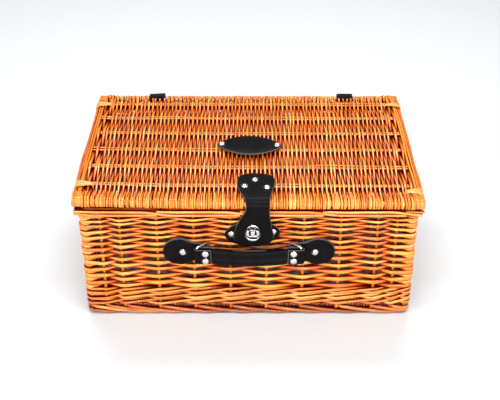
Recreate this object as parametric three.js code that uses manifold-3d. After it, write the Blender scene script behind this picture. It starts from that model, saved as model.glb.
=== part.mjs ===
// A rectangular willow picnic hamper: a woven body on a foot border, a hinged woven lid, a leather
// hasp with a turn-lock, and a leather carrying handle on two wire rings.
// Millimetres. +Z is up, +X runs along the front from left to right, and the front faces -Y.

import * as THREE from "three";
import { mergeVertices } from "three/addons/utils/BufferGeometryUtils.js";
import Module from "manifold-3d";

const wasm = await Module();
wasm.setup();

// ---------------------------------------------------------------- driving dimensions

const gap = 0.3; // between pieces that touch
const leather = 2; // thickness of one layer

// Lid
const lidLength = 400;
const lidDepth = 272;
const lidHalf = 7; // half the lid's thickness
const lidMid = 159.5; // height of the lid's middle plane
const stickRadius = 3.5;
const stickY = lidDepth / 2 - lidHalf;
const ribYs = [-92, -51, -10, 31, 71, 111];
const ribWidth = 9;
const ribHeight = 5;
const lidWeaveEnd = 179.7;
const endRodsHalf = 5.3;
const endRodsInner = 181.5;
const endRodsOuter = 198.5;
const bindingWidth = 7;
const bindings = [
  ["lid_binding_front_left", -1, -101],
  ["lid_binding_front_right", 1, -112],
  ["lid_binding_back_left", -1, 100],
  ["lid_binding_back_right", 1, 100],
];

// Body
const bodyLength = 394;
const bodyDepth = 258;
const wallThickness = 12;
const footBottom = -3; // the ground; the other heights are measured from 3 mm above it
const footTop = 5;
const footWidth = 14;
const baseTop = 10.5;
const baseInset = 1.5;
const rimBottom = 143.5;
const rimTop = 151.5;
const rimOverhang = 3;
const postRadius = 5.2;
const stakeRadius = 2.5;
const stakePitch = 42.8;
const sideStakePitch = 41.1;
const frontStakes = 8;
const sideStakes = 5;
const liningThickness = 1.2;
const liningTop = 142;

// Rivets
const headRadius = 4.2;
const headHeight = 1.9;
const shankRadius = 1.6;
const washerRadius = 3;

// Hinge straps
const hingeXs = { left: -122, right: 129 };
const hingeWidth = 21;
const hingeLoopInner = 4.2;
const hingeLoopOuter = hingeLoopInner + 2.2;
const hingeRimGap = 1.3; // from the rim to the strap
const hingeTailBottom = 98;
const hingeRivetZ = 108;

// Hasp, from its head on the lid to the flap in front of the wall
const haspHeadX = 8.2;
const haspNeckX = 10.2;
const haspFlapX = 5.4;
const haspHeadHalf = 21.5;
const haspNeckHalf = 14;
const haspFlapHalf = 23.4;
const haspHeadBack = -77.4;
const flapTop = 159;
const flapBottom = 106.2;
const flapBack = 4.6; // from the wall to the flap's back, at the lock
const flapBendTop = 157;
const flapBendBottom = 142;
const haspRivets = [
  [7.4, -92.4],
  [-4.8, -106.1],
  [21, -108.8],
];

// Turn-lock
const lockX = 4.6;
const lockZ = 126;
const knobLong = 15;
const knobShort = 10.5;
const knobDepth = 6;
const knobGap = 0.5;
const lockPostRadius = 2.4;
const lockPlateThickness = 1;
const lockSlotHalf = 8.2;
const lockSlotTop = lockZ + knobLong / 2 + 0.7;
const eyeletThickness = 1.2;
const backplateX = 4.2;
const backplateZ = 119.5;
const backplateThickness = 1.8;
const backplateRivets = [
  [-19.7, 119.2],
  [27.9, 122.2],
];

// Handle
const handleX = 1;
const handleZ = 96.6;
const tabX = 0.3;
const tabZ = 95;
const ringX = 0.5;
const ringZ = 95.8;
const wireRadius = 1.4;
const ringInnerX = 49;
const ringInnerY = 4.1; // from the wall to the ring's inner bar
const ringOuterX = 60;
const ringReach = 9.5; // how far the outer bar stands in front of the inner bar
const ringHalfHeight = 12.6;
const tabLoopClearance = 0.35;
const tabHalfNeck = 10;
const tabLobeX = 82.3;
const tabLobeRadius = 18;
const tabRivetX = 77;
const loopHalf = 9.8; // half the height of the handle's end loops
const loopInnerX = 44.3;
const pocketHalf = wireRadius + 0.5;
const pocketInnerX = 53.7;
const strapCoreHalf = 7;
const gripHalfLength = 44;
const gripHalfHeight = 10.4;
const gripDrop = 2; // how far the grip's middle hangs below the strap's
const gripHalfDepth = 4.5;
const handleRivetX = 51;
const handleRivetSpread = 5;

// Label patch
const patchX = 1.2;
const patchY = -10.8;
const patchLength = 80;
const patchWidth = 44;
const patchRivets = [
  [-32.9, -9.4],
  [35.2, -12.2],
];

// ---------------------------------------------------------------- derived places

const wallFront = -bodyDepth / 2;
const lidTop = lidMid + lidHalf;
const wallBottom = baseTop + gap;
const wallTop = rimBottom - gap;
const innerLength = bodyLength - 2 * wallThickness;
const innerDepth = bodyDepth - 2 * wallThickness;
const postInset = 5.6;
const handleY = wallFront - ringInnerY - ringReach;
const loopDepth = pocketHalf + leather;
const handleRivetFront = handleY - loopDepth - gap - headHeight;
const flapInner = wallFront - flapBack;
const eyeletBack = flapInner - leather - gap;
const knobBack = eyeletBack - eyeletThickness - knobGap;
const lockPlateBack = wallFront - gap - backplateThickness - gap;

// The whole hamper is moved so that its box is centred on the origin from front to back, and
// stands on the ground at 0.
const depthShift = (-handleRivetFront - lidDepth / 2) / 2;

// ---------------------------------------------------------------- materials

const finish = (color, roughness, metalness) =>
  new THREE.MeshStandardMaterial({ color, roughness, metalness });
const willow = finish(0xf2a045, 0.5, 0);
const skein = finish(0xf7b866, 0.45, 0);
const blackLeather = finish(0x1e1c20, 0.45, 0);
const nickel = finish(0xd8d2cf, 0.25, 1);
const cotton = finish(0x6e666e, 0.9, 0);

// ---------------------------------------------------------------- solids

const hamper = new THREE.Group();
hamper.position.set(0, depthShift, -footBottom);

function solid(geometry) {
  const bare = geometry.clone();
  bare.deleteAttribute("normal");
  bare.deleteAttribute("uv");
  const merged = mergeVertices(bare, 1e-3);
  return new wasm.Manifold(
    new wasm.Mesh({
      numProp: 3,
      vertProperties: new Float32Array(merged.attributes.position.array),
      triVerts: new Uint32Array(merged.index.array),
    }),
  );
}

function add(name, shape, material) {
  const made = shape.isBufferGeometry ? solid(shape) : shape;
  const { vertProperties, triVerts } = made.getMesh();
  const geometry = new THREE.BufferGeometry();
  geometry.setAttribute("position", new THREE.BufferAttribute(vertProperties, 3));
  geometry.setIndex(new THREE.BufferAttribute(triVerts, 1));
  geometry.computeVertexNormals();
  const mesh = new THREE.Mesh(geometry, material);
  mesh.name = name;
  hamper.add(mesh);
}

const basis = (u, v, w) =>
  new THREE.Matrix4().makeBasis(
    new THREE.Vector3(...u),
    new THREE.Vector3(...v),
    new THREE.Vector3(...w),
  );
const alongX = basis([0, 1, 0], [0, 0, 1], [1, 0, 0]);
const alongY = basis([1, 0, 0], [0, 0, 1], [0, -1, 0]);

// An outline pulled straight along Z, X or Y. Its own plane is XY, YZ or XZ.
function prismZ(outline, from, to, curveSegments = 6) {
  const depth = to - from;
  const made = new THREE.ExtrudeGeometry(outline, { depth, bevelEnabled: false, curveSegments });
  return made.translate(0, 0, from);
}

function prismX(profile, from, to, curveSegments = 6) {
  return prismZ(profile, from, to, curveSegments).applyMatrix4(alongX);
}

function prismY(outline, from, to, curveSegments = 6) {
  return prismZ(outline, -to, -from, curveSegments).applyMatrix4(alongY);
}

function box(x0, x1, y0, y1, z0, z1) {
  const made = new THREE.BoxGeometry(x1 - x0, y1 - y0, z1 - z0);
  return made.translate((x0 + x1) / 2, (y0 + y1) / 2, (z0 + z1) / 2);
}

// A rod along one axis, between two ends.
function rod(axis, radius, centre, from, to, sides = 8) {
  const made = new THREE.CylinderGeometry(radius, radius, to - from, sides);
  if (axis === "x") made.rotateZ(Math.PI / 2);
  if (axis === "z") made.rotateX(Math.PI / 2);
  const middle = (from + to) / 2;
  const at = { x: [middle, ...centre], y: [centre[0], middle, centre[1]], z: [...centre, middle] };
  return made.translate(...at[axis]);
}

function polygon(points) {
  return new THREE.Shape(points.map(([u, v]) => new THREE.Vector2(u, v)));
}

function rectangle(u0, u1, v0, v1) {
  return polygon([
    [u0, v0],
    [u1, v0],
    [u1, v1],
    [u0, v1],
  ]);
}

function ellipse(u, v, halfWidth, halfHeight) {
  const made = new THREE.Shape();
  made.absellipse(u, v, halfWidth, halfHeight, 0, 2 * Math.PI);
  return made;
}

function round(u, v, radius) {
  return ellipse(u, v, radius, radius);
}

// A bar with round ends, lying along u.
function stadium(u0, u1, v, radius) {
  const made = new THREE.Shape();
  made.absarc(u0 + radius, v, radius, Math.PI / 2, 1.5 * Math.PI);
  made.absarc(u1 - radius, v, radius, -Math.PI / 2, Math.PI / 2);
  return made;
}

function withHoles(outline, holes) {
  outline.holes.push(...holes);
  return outline;
}

// A domed rivet on an axis. Its head's flat side is at 0, its shank runs back from there by grip,
// and a tail is the thickness of the washer at the shank's end.
function rivet(grip, tail = 0) {
  const end = -grip - tail;
  const washer = tail ? [[washerRadius, end], [washerRadius, -grip]] : [];
  const profile = [
    [0, end],
    ...washer,
    [shankRadius, -grip],
    [shankRadius, 0],
    [headRadius, 0],
    [headRadius * 0.94, headHeight * 0.4],
    [headRadius * 0.6, headHeight * 0.85],
    [0, headHeight],
  ];
  return new THREE.LatheGeometry(profile.map((point) => new THREE.Vector2(...point)), 12);
}

const rivetUp = (x, y, z) => rivet(leather + gap).rotateX(Math.PI / 2).translate(x, y, z + gap);
const rivetForward = (x, y, z, grip, tail) =>
  rivet(grip + gap, tail).rotateX(Math.PI).translate(x, y - gap, z);
const holeUp = (x, y) => solid(rod("z", shankRadius + gap, [x, y], 100, 200, 12));
const holeThrough = (x, z) => solid(rod("y", shankRadius + gap, [x, z], -200, 200, 12));

// ---------------------------------------------------------------- body of the basket

function footBorder() {
  const halfX = bodyLength / 2;
  const halfY = bodyDepth / 2;
  const outline = rectangle(-halfX, halfX, -halfY, halfY);
  const inside = rectangle(
    -halfX + footWidth,
    halfX - footWidth,
    -halfY + footWidth,
    halfY - footWidth,
  );
  add("foot_border", prismZ(withHoles(outline, [inside]), footBottom, footTop), willow);
}

function baseWeave() {
  const halfX = bodyLength / 2 - baseInset;
  const halfY = bodyDepth / 2 - baseInset;
  add("base_weave", box(-halfX, halfX, -halfY, halfY, footTop + gap, baseTop), willow);
}

function cornerPosts() {
  for (const [side, x] of [["left", -1], ["right", 1]]) {
    for (const [end, y] of [["front", -1], ["back", 1]]) {
      const centre = [x * (bodyLength / 2 - postInset), y * (bodyDepth / 2 - postInset)];
      const post = rod("z", postRadius, centre, wallBottom, wallTop, 12);
      add(`corner_post_${end}_${side}`, post, willow);
    }
  }
}

const spread = (count, pitch) => Array.from({ length: count }, (_, i) => (i - (count - 1) / 2) * pitch);

// One wall lies along u, centred on v = middle. It is woven round its stakes, whose tops are bent
// down into the rim border, so the border and the stakes are one comb.
function wall(name, turned, halfLength, middle, stakePlaces, rimHalf, outwards) {
  const at = (u, v) => (turned ? [v, u] : [u, v]);
  const block = (u0, u1, v0, v1, z0, z1) => {
    const [x0, y0] = at(u0, v0);
    const [x1, y1] = at(u1, v1);
    return box(x0, x1, y0, y1, z0, z1);
  };
  const halfWall = wallThickness / 2;
  const outer = Math.max(0, outwards) * rimOverhang;
  const inner = Math.max(0, -outwards) * rimOverhang;
  const rimLow = middle - halfWall - inner;
  const rimHigh = middle + halfWall + outer;
  let weave = solid(
    block(-halfLength, halfLength, middle - halfWall, middle + halfWall, wallBottom, wallTop),
  );
  let comb = solid(block(-rimHalf, rimHalf, rimLow, rimHigh, rimBottom, rimTop));
  for (const u of stakePlaces) {
    const centre = at(u, middle);
    weave = weave.subtract(solid(rod("z", stakeRadius + gap, centre, 0, rimTop)));
    comb = comb.add(solid(rod("z", stakeRadius, centre, wallBottom + gap, rimBottom + 1)));
  }
  add(`${name}_wall_weave`, weave, willow);
  add(`${name}_stakes_and_rim`, comb, willow);
}

function walls() {
  const frontMiddle = bodyDepth / 2 - wallThickness / 2;
  const sideMiddle = bodyLength / 2 - wallThickness / 2;
  const frontPlaces = spread(frontStakes, stakePitch);
  const sidePlaces = spread(sideStakes, sideStakePitch);
  const frontRim = bodyLength / 2 + rimOverhang;
  const sideRim = innerDepth / 2 - gap;
  const frontHalf = innerLength / 2 - gap;
  const sideHalf = innerDepth / 2 + 0.7;
  wall("front", false, frontHalf, -frontMiddle, frontPlaces, frontRim, -1);
  wall("back", false, frontHalf, frontMiddle, frontPlaces, frontRim, 1);
  wall("left", true, sideHalf, -sideMiddle, sidePlaces, sideRim, -1);
  wall("right", true, sideHalf, sideMiddle, sidePlaces, sideRim, 1);
}

function lining() {
  const halfX = innerLength / 2 - 0.4;
  const halfY = innerDepth / 2 - 0.4;
  const t = liningThickness;
  const shell = solid(box(-halfX, halfX, -halfY, halfY, baseTop + gap, liningTop));
  const inside = solid(
    box(-halfX + t, halfX - t, -halfY + t, halfY - t, baseTop + gap + t, liningTop + 1),
  );
  add("lining", shell.subtract(inside), cotton);
}

// ---------------------------------------------------------------- hinge straps

// Each strap is a loop round the lid's back stick, with a tail riveted to the back wall.
function hingeProfile() {
  const rimFace = bodyDepth / 2 + rimOverhang + hingeRimGap;
  const wallFace = bodyDepth / 2 + gap;
  const tail = hingeLoopOuter - (rimFace - stickY);
  const closing = Math.acos((rimFace - stickY) / hingeLoopOuter);
  const outline = new THREE.Shape();
  outline.moveTo(wallFace + tail, hingeTailBottom);
  outline.lineTo(wallFace + tail, rimBottom - 9);
  outline.lineTo(rimFace + tail, rimBottom);
  outline.absarc(stickY, lidMid, hingeLoopOuter, 0, 2 * Math.PI - closing);
  outline.lineTo(rimFace, rimBottom + gap);
  outline.lineTo(wallFace, rimBottom - 9);
  outline.lineTo(wallFace, hingeTailBottom);
  return { outline: withHoles(outline, [round(stickY, lidMid, hingeLoopInner)]), tail };
}

function hingeStraps() {
  const { outline, tail } = hingeProfile();
  const tailFace = bodyDepth / 2 + gap + tail;
  for (const [side, x] of Object.entries(hingeXs)) {
    const strap = solid(prismX(outline, x - hingeWidth / 2, x + hingeWidth / 2, 10));
    add(`hinge_strap_${side}`, strap.subtract(holeThrough(x, hingeRivetZ)), blackLeather);
    const made = rivet(tail + gap).translate(x, tailFace + gap, hingeRivetZ);
    add(`hinge_rivet_${side}`, made, nickel);
  }
}

// ---------------------------------------------------------------- lid

const lidStick = (y, clearance, half) =>
  rod("x", stickRadius + clearance, [y, lidMid], -half, half, 12);

function lidRib(y, clearance, half) {
  const halfWidth = ribWidth / 2 + clearance;
  const halfHeight = ribHeight / 2 + clearance;
  return box(-half, half, y - halfWidth, y + halfWidth, lidMid - halfHeight, lidMid + halfHeight);
}

// What the sticks and the ribs pass through, cut out of a solid.
function threaded(made) {
  let left = made;
  for (const y of [-stickY, stickY]) left = left.subtract(solid(lidStick(y, gap, lidLength)));
  for (const y of ribYs) left = left.subtract(solid(lidRib(y, gap, lidLength)));
  return left;
}

function lidSticksAndRibs() {
  const half = lidLength / 2 - 1;
  add("lid_front_stick", lidStick(-stickY, 0, half), willow);
  add("lid_back_stick", lidStick(stickY, 0, half), willow);
  ribYs.forEach((y, i) => add(`lid_rib_${i + 1}`, lidRib(y, 0, half), willow));
}

function lidWeave() {
  const section = stadium(-lidDepth / 2, lidDepth / 2, lidMid, lidHalf);
  let weave = threaded(solid(prismX(section, -lidWeaveEnd, lidWeaveEnd)));
  const notchHalf = hingeWidth / 2 + 1;
  for (const x of Object.values(hingeXs)) {
    const front = stickY - hingeLoopOuter - 1;
    const notch = box(x - notchHalf, x + notchHalf, front, lidDepth, lidMid - 20, lidMid + 20);
    weave = weave.subtract(solid(notch));
  }
  add("lid_weave", weave, willow);
}

function lidEndRods() {
  const reach = stickY + endRodsHalf;
  for (const [side, x0, x1] of [
    ["left", -endRodsOuter, -endRodsInner],
    ["right", endRodsInner, endRodsOuter],
  ]) {
    const section = stadium(-reach, reach, lidMid, endRodsHalf);
    add(`lid_end_rods_${side}`, threaded(solid(prismX(section, x0, x1))), willow);
  }
}

// A band of split willow round the end rods.
function lidBindings() {
  const low = lidWeaveEnd + gap;
  const high = lidLength / 2;
  const half = endRodsHalf + gap + 1.1;
  for (const [name, side, y] of bindings) {
    const [u0, u1] = [side * low, side * high].sort((a, b) => a - b);
    const [v0, v1] = [side * (endRodsInner - gap), side * (endRodsOuter + gap)].sort((a, b) => a - b);
    const hole = rectangle(v0, v1, lidMid - endRodsHalf - gap, lidMid + endRodsHalf + gap);
    const outline = withHoles(rectangle(u0, u1, lidMid - half, lidMid + half), [hole]);
    add(name, prismY(outline, y - bindingWidth / 2, y + bindingWidth / 2), skein);
  }
}

function labelPatch() {
  const half = patchLength / 2;
  const rise = patchWidth / 2;
  const radius = (half * half + rise * rise) / (2 * rise);
  const sweep = Math.asin(half / radius);
  const outline = new THREE.Shape();
  const low = patchY - (radius - rise);
  const high = patchY + (radius - rise);
  outline.absarc(patchX, low, radius, Math.PI / 2 - sweep, Math.PI / 2 + sweep);
  outline.absarc(patchX, high, radius, 1.5 * Math.PI - sweep, 1.5 * Math.PI + sweep);
  const bottom = lidTop + gap;
  let patch = solid(prismZ(outline, bottom, bottom + leather, 10));
  patchRivets.forEach(([x, y], i) => {
    patch = patch.subtract(holeUp(x, y));
    add(`label_rivet_${["left", "right"][i]}`, rivetUp(x, y, bottom + leather), nickel);
  });
  add("label_patch", patch, blackLeather);
}

// ---------------------------------------------------------------- hasp

// The hasp's outline, from its head on the lid (v high) down to the lid's front edge.
function haspHeadOutline() {
  const shoulder = haspHeadBack - 22;
  const neck = -122;
  const edge = -lidDepth / 2 - 5;
  const outline = new THREE.Shape();
  outline.moveTo(haspNeckX - haspNeckHalf, edge);
  outline.lineTo(haspNeckX - haspNeckHalf, neck);
  outline.quadraticCurveTo(
    haspNeckX - haspNeckHalf,
    neck + 6,
    haspHeadX - haspHeadHalf,
    shoulder,
  );
  outline.quadraticCurveTo(haspHeadX - haspHeadHalf, haspHeadBack - 4, haspHeadX, haspHeadBack);
  outline.quadraticCurveTo(
    haspHeadX + haspHeadHalf,
    haspHeadBack - 4,
    haspHeadX + haspHeadHalf,
    shoulder,
  );
  outline.quadraticCurveTo(haspNeckX + haspNeckHalf, neck + 6, haspNeckX + haspNeckHalf, neck);
  outline.lineTo(haspNeckX + haspNeckHalf, edge);
  return outline;
}

// The part of the hasp on the lid: flat behind the edge, then bent round the front stick.
function haspStrapTop() {
  const inner = lidHalf + gap;
  const outer = inner + leather;
  const bend = (170 * Math.PI) / 180;
  const profile = new THREE.Shape();
  profile.moveTo(haspHeadBack + 1, lidMid + inner);
  profile.lineTo(haspHeadBack + 1, lidMid + outer);
  profile.absarc(-stickY, lidMid, outer, Math.PI / 2, bend, false);
  profile.absarc(-stickY, lidMid, inner, bend, Math.PI / 2, true);
  let strap = solid(prismX(profile, -60, 60, 8));
  strap = strap.intersect(solid(prismZ(haspHeadOutline(), lidMid - 10, lidMid + 20, 6)));
  haspRivets.forEach(([x, y], i) => {
    strap = strap.subtract(holeUp(x, y));
    add(`hasp_rivet_${i + 1}`, rivetUp(x, y, lidMid + outer), nickel);
  });
  add("hasp_strap_top", strap, blackLeather);
}

function flapOutline() {
  const half = haspFlapHalf;
  const wide = flapBottom + 16;
  const outline = new THREE.Shape();
  outline.moveTo(haspNeckX - haspNeckHalf, flapTop);
  outline.lineTo(haspNeckX - haspNeckHalf, flapTop - 8);
  outline.quadraticCurveTo(haspFlapX - half, lockZ + 8, haspFlapX - half, wide);
  outline.quadraticCurveTo(haspFlapX - half, flapBottom + 1, haspFlapX, flapBottom);
  outline.quadraticCurveTo(haspFlapX + half, flapBottom + 1, haspFlapX + half, wide);
  outline.quadraticCurveTo(haspFlapX + half, lockZ + 8, haspNeckX + haspNeckHalf, flapTop - 8);
  outline.lineTo(haspNeckX + haspNeckHalf, flapTop);
  return outline;
}

// A slot that is open at the bottom, so that the flap can leave the turn button at any time.
const lockSlot = () =>
  solid(box(lockX - lockSlotHalf, lockX + lockSlotHalf, -200, 0, 60, lockSlotTop));

function haspFlap() {
  const top = -stickY - lidHalf - gap;
  const profile = polygon([
    [flapInner, flapBottom],
    [flapInner, flapBendBottom],
    [top, flapBendTop],
    [top, flapTop],
    [top - leather, flapTop],
    [top - leather, flapBendTop],
    [flapInner - leather, flapBendBottom],
    [flapInner - leather, flapBottom],
  ]);
  const sheet = solid(prismX(profile, -60, 60));
  const flap = sheet.intersect(solid(prismY(flapOutline(), -200, 0)));
  add("hasp_flap", flap.subtract(lockSlot()), blackLeather);
}

function haspEyelet() {
  const plate = ellipse(lockX, lockZ, 11.5, 12.4);
  const made = solid(prismY(plate, eyeletBack - eyeletThickness, eyeletBack, 8));
  add("hasp_eyelet", made.subtract(lockSlot()), nickel);
}

// ---------------------------------------------------------------- turn-lock

function lockBackplate() {
  const front = wallFront - gap - backplateThickness;
  const outline = ellipse(backplateX, backplateZ, 32, 17);
  let plate = solid(prismY(outline, front, wallFront - gap, 8));
  backplateRivets.forEach(([x, z], i) => {
    plate = plate.subtract(holeThrough(x, z));
    const made = rivetForward(x, front, z, backplateThickness, 0);
    add(`lock_backplate_rivet_${["left", "right"][i]}`, made, nickel);
  });
  add("lock_backplate", plate, blackLeather);
}

function turnLock() {
  const plateFront = lockPlateBack - lockPlateThickness;
  const postEnd = knobBack - knobDepth / 2;
  const plate = solid(prismY(ellipse(lockX, lockZ - 1, 7.5, 7), plateFront, lockPlateBack, 6));
  const post = solid(rod("y", lockPostRadius, [lockX, lockZ], postEnd, plateFront + 0.5, 12));
  add("turn_lock_post", plate.add(post), nickel);
  const outline = stadium(lockX - knobLong / 2, lockX + knobLong / 2, lockZ, knobShort / 2);
  const knob = solid(prismY(outline, knobBack - knobDepth, knobBack, 8));
  const socket = rod("y", lockPostRadius + gap, [lockX, lockZ], postEnd - gap, knobBack + 1, 12);
  add("turn_button", knob.subtract(solid(socket)), nickel);
}

// ---------------------------------------------------------------- carrying handle

const sides = [["left", -1], ["right", 1]];
const ringY = wallFront - ringInnerY;

// Seen from above, a tab is one strip of leather folded round the ring's inner bar.
function tabProfile(side) {
  const outer = wireRadius + tabLoopClearance + leather;
  const x = (u) => tabX + side * u;
  const back = ringY + outer;
  const front = back - 2 * leather;
  const flat = polygon([
    [x(ringInnerX), back],
    [x(ringInnerX), ringY - outer],
    [x(ringInnerX + 1), ringY - outer],
    [x(ringInnerX + 9), front],
    [x(tabLobeX + tabLobeRadius + 1), front],
    [x(tabLobeX + tabLobeRadius + 1), back],
  ]);
  return { flat, outer, front };
}

function tabOutline(side) {
  const x = (u) => tabX + side * u;
  const tip = ringInnerX - 5;
  const blend = tabLobeX - tabLobeRadius * Math.cos(Math.PI / 3);
  const rise = tabLobeRadius * Math.sin(Math.PI / 3);
  const outline = new THREE.Shape();
  outline.moveTo(x(tip), tabZ - tabHalfNeck);
  outline.lineTo(x(ringInnerX + 12), tabZ - tabHalfNeck);
  outline.lineTo(x(blend), tabZ - rise);
  for (let i = 1; i < 14; i += 1) {
    const angle = (-2 / 3 + (4 / 3) * (i / 14)) * Math.PI;
    const u = tabLobeX + tabLobeRadius * Math.cos(angle);
    outline.lineTo(x(u), tabZ + tabLobeRadius * Math.sin(angle));
  }
  outline.lineTo(x(blend), tabZ + rise);
  outline.lineTo(x(ringInnerX + 12), tabZ + tabHalfNeck);
  outline.lineTo(x(tip), tabZ + tabHalfNeck);
  return outline;
}

function handleTabs() {
  for (const [name, side] of sides) {
    const { flat, outer, front } = tabProfile(side);
    const barX = tabX + side * ringInnerX;
    const [z0, z1] = [tabZ - 30, tabZ + 30];
    const hole = solid(rod("z", wireRadius + tabLoopClearance, [barX, ringY], z0, z1, 12));
    const fold = solid(rod("z", outer, [barX, ringY], z0, z1, 16));
    const strip = solid(prismZ(flat, z0, z1)).add(fold).subtract(hole);
    const cut = solid(prismY(tabOutline(side), -200, 0));
    const rivetX = tabX + side * tabRivetX;
    const tab = strip.intersect(cut).subtract(holeThrough(rivetX, tabZ));
    add(`handle_tab_${name}`, tab, blackLeather);
    const made = rivetForward(rivetX, front, tabZ, 2 * leather, 0);
    add(`handle_tab_rivet_${name}`, made, nickel);
  }
}

// A rectangular loop of wire. Its inner bar turns in the tab, its outer bar holds the handle.
function handleRings() {
  for (const [name, side] of sides) {
    const inner = [ringX + side * ringInnerX, ringY];
    const outer = [ringX + side * ringOuterX, ringY - ringReach];
    const z0 = ringZ - ringHalfHeight;
    const z1 = ringZ + ringHalfHeight;
    const width = Math.hypot(ringOuterX - ringInnerX, ringReach);
    const heading = Math.atan2(outer[1] - inner[1], outer[0] - inner[0]);
    const middle = [(inner[0] + outer[0]) / 2, (inner[1] + outer[1]) / 2];
    let ring = solid(rod("z", wireRadius, inner, z0, z1, 10));
    ring = ring.add(solid(rod("z", wireRadius, outer, z0, z1, 10)));
    for (const z of [z0, z1]) {
      const bar = rod("x", wireRadius, [0, 0], -width / 2, width / 2, 10);
      bar.rotateZ(heading).translate(middle[0], middle[1], z);
      ring = ring.add(solid(bar));
      for (const corner of [inner, outer]) {
        const ball = new THREE.SphereGeometry(wireRadius, 10, 8);
        ring = ring.add(solid(ball.rotateX(Math.PI / 2).translate(...corner, z)));
      }
    }
    add(`handle_ring_${name}`, ring, nickel);
  }
}

function handleStrap() {
  const tip = ringOuterX + pocketHalf + leather;
  const section = stadium(handleX - tip, handleX + tip, handleY, loopDepth);
  const ends = solid(prismZ(section, handleZ - loopHalf, handleZ + loopHalf));
  const [coreBack, coreFront] = [handleY + leather, handleY - leather];
  const [low, high] = [handleX - loopInnerX, handleX + loopInnerX];
  const middle = solid(box(low, high, -200, -100, handleZ - 30, handleZ + 30));
  const core = box(
    low - 1,
    high + 1,
    coreFront,
    coreBack,
    handleZ - strapCoreHalf,
    handleZ + strapCoreHalf,
  );
  let strap = ends.subtract(middle).add(solid(core));
  for (const [name, side] of sides) {
    const reach = [side * pocketInnerX, side * (ringOuterX + pocketHalf)].map((u) => u + handleX);
    reach.sort((a, b) => a - b);
    const pocket = stadium(reach[0], reach[1], handleY, pocketHalf);
    strap = strap.subtract(solid(prismZ(pocket, handleZ - 30, handleZ + 30)));
    for (const [level, z] of [["upper", handleRivetSpread], ["lower", -handleRivetSpread]]) {
      const x = handleX + side * handleRivetX;
      strap = strap.subtract(holeThrough(x, handleZ + z));
      const made = rivetForward(x, handleY - loopDepth, handleZ + z, 2 * loopDepth + gap, 1);
      add(`handle_rivet_${name}_${level}`, made, nickel);
    }
  }
  add("handle_strap", strap, blackLeather);
}

// The padded sleeve sewn round the middle of the strap.
function handleGrip() {
  const chamfer = 2;
  const [back, front] = [handleY + gripHalfDepth, handleY - gripHalfDepth];
  const middle = handleZ - gripDrop;
  const [bottom, top] = [middle - gripHalfHeight, middle + gripHalfHeight];
  const section = polygon([
    [front, bottom + chamfer],
    [front + chamfer, bottom],
    [back - chamfer, bottom],
    [back, bottom + chamfer],
    [back, top - chamfer],
    [back - chamfer, top],
    [front + chamfer, top],
    [front, top - chamfer],
  ]);
  const depth = leather + gap;
  const height = strapCoreHalf + gap;
  const channel = rectangle(handleY - depth, handleY + depth, handleZ - height, handleZ + height);
  const [low, high] = [handleX - gripHalfLength, handleX + gripHalfLength];
  add("handle_grip", prismX(withHoles(section, [channel]), low, high), blackLeather);
}

// ---------------------------------------------------------------- assembly

footBorder();
baseWeave();
cornerPosts();
walls();
lining();
hingeStraps();
lidSticksAndRibs();
lidWeave();
lidEndRods();
lidBindings();
labelPatch();
haspStrapTop();
haspFlap();
haspEyelet();
lockBackplate();
turnLock();
handleTabs();
handleRings();
handleStrap();
handleGrip();

export default hamper;
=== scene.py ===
"""The looks of a woven willow picnic hamper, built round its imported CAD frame.

Everything is in metres in the frame's own axes: +X runs along the front from left to right, +Y to
the back, +Z up. Willow pieces are bundles of swept rods, and leather pieces are strips of one
thickness that follow a path.
"""

import math

import bpy
import numpy as np
from mathutils import Matrix, Vector


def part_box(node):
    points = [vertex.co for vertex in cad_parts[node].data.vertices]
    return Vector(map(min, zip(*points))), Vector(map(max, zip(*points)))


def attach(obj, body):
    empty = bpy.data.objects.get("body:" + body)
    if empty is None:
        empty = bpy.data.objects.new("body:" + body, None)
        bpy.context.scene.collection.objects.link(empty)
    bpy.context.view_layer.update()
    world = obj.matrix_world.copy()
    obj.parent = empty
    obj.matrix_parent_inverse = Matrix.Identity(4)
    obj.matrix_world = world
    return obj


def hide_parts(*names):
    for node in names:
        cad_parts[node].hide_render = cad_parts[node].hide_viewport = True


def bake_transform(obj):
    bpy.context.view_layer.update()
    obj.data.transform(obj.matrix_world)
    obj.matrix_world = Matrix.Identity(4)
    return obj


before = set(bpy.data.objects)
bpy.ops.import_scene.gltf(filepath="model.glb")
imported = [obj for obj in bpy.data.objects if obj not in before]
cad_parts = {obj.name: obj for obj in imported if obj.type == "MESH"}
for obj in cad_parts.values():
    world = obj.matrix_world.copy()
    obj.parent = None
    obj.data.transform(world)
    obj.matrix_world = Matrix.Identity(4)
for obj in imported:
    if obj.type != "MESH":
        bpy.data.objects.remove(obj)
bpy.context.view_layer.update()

MM = 0.001
X_AXIS = np.array([1.0, 0.0, 0.0])
Y_AXIS = np.array([0.0, 1.0, 0.0])
Z_AXIS = np.array([0.0, 0.0, 1.0])


# ------------------------------------------------------------------ places taken from the frame


def corners(node):
    low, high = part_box(node)
    return np.array(low), np.array(high)


def centre(node):
    return middle_and_half(node)[0]


def middle_and_half(node):
    """The middle of a node's box, and half its size each way."""
    low, high = corners(node)
    return (low + high) / 2, (high - low) / 2


LID_LOW, LID_HIGH = corners("lid_weave")
LID_DEPTH = LID_HIGH[1] - LID_LOW[1]
FRONT_STICK, FRONT_STICK_HALF = middle_and_half("lid_front_stick")
STICK_RADIUS = FRONT_STICK_HALF[2]
LID_MID = FRONT_STICK[2]
HINGE_Y = centre("lid_back_stick")[1]
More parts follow.
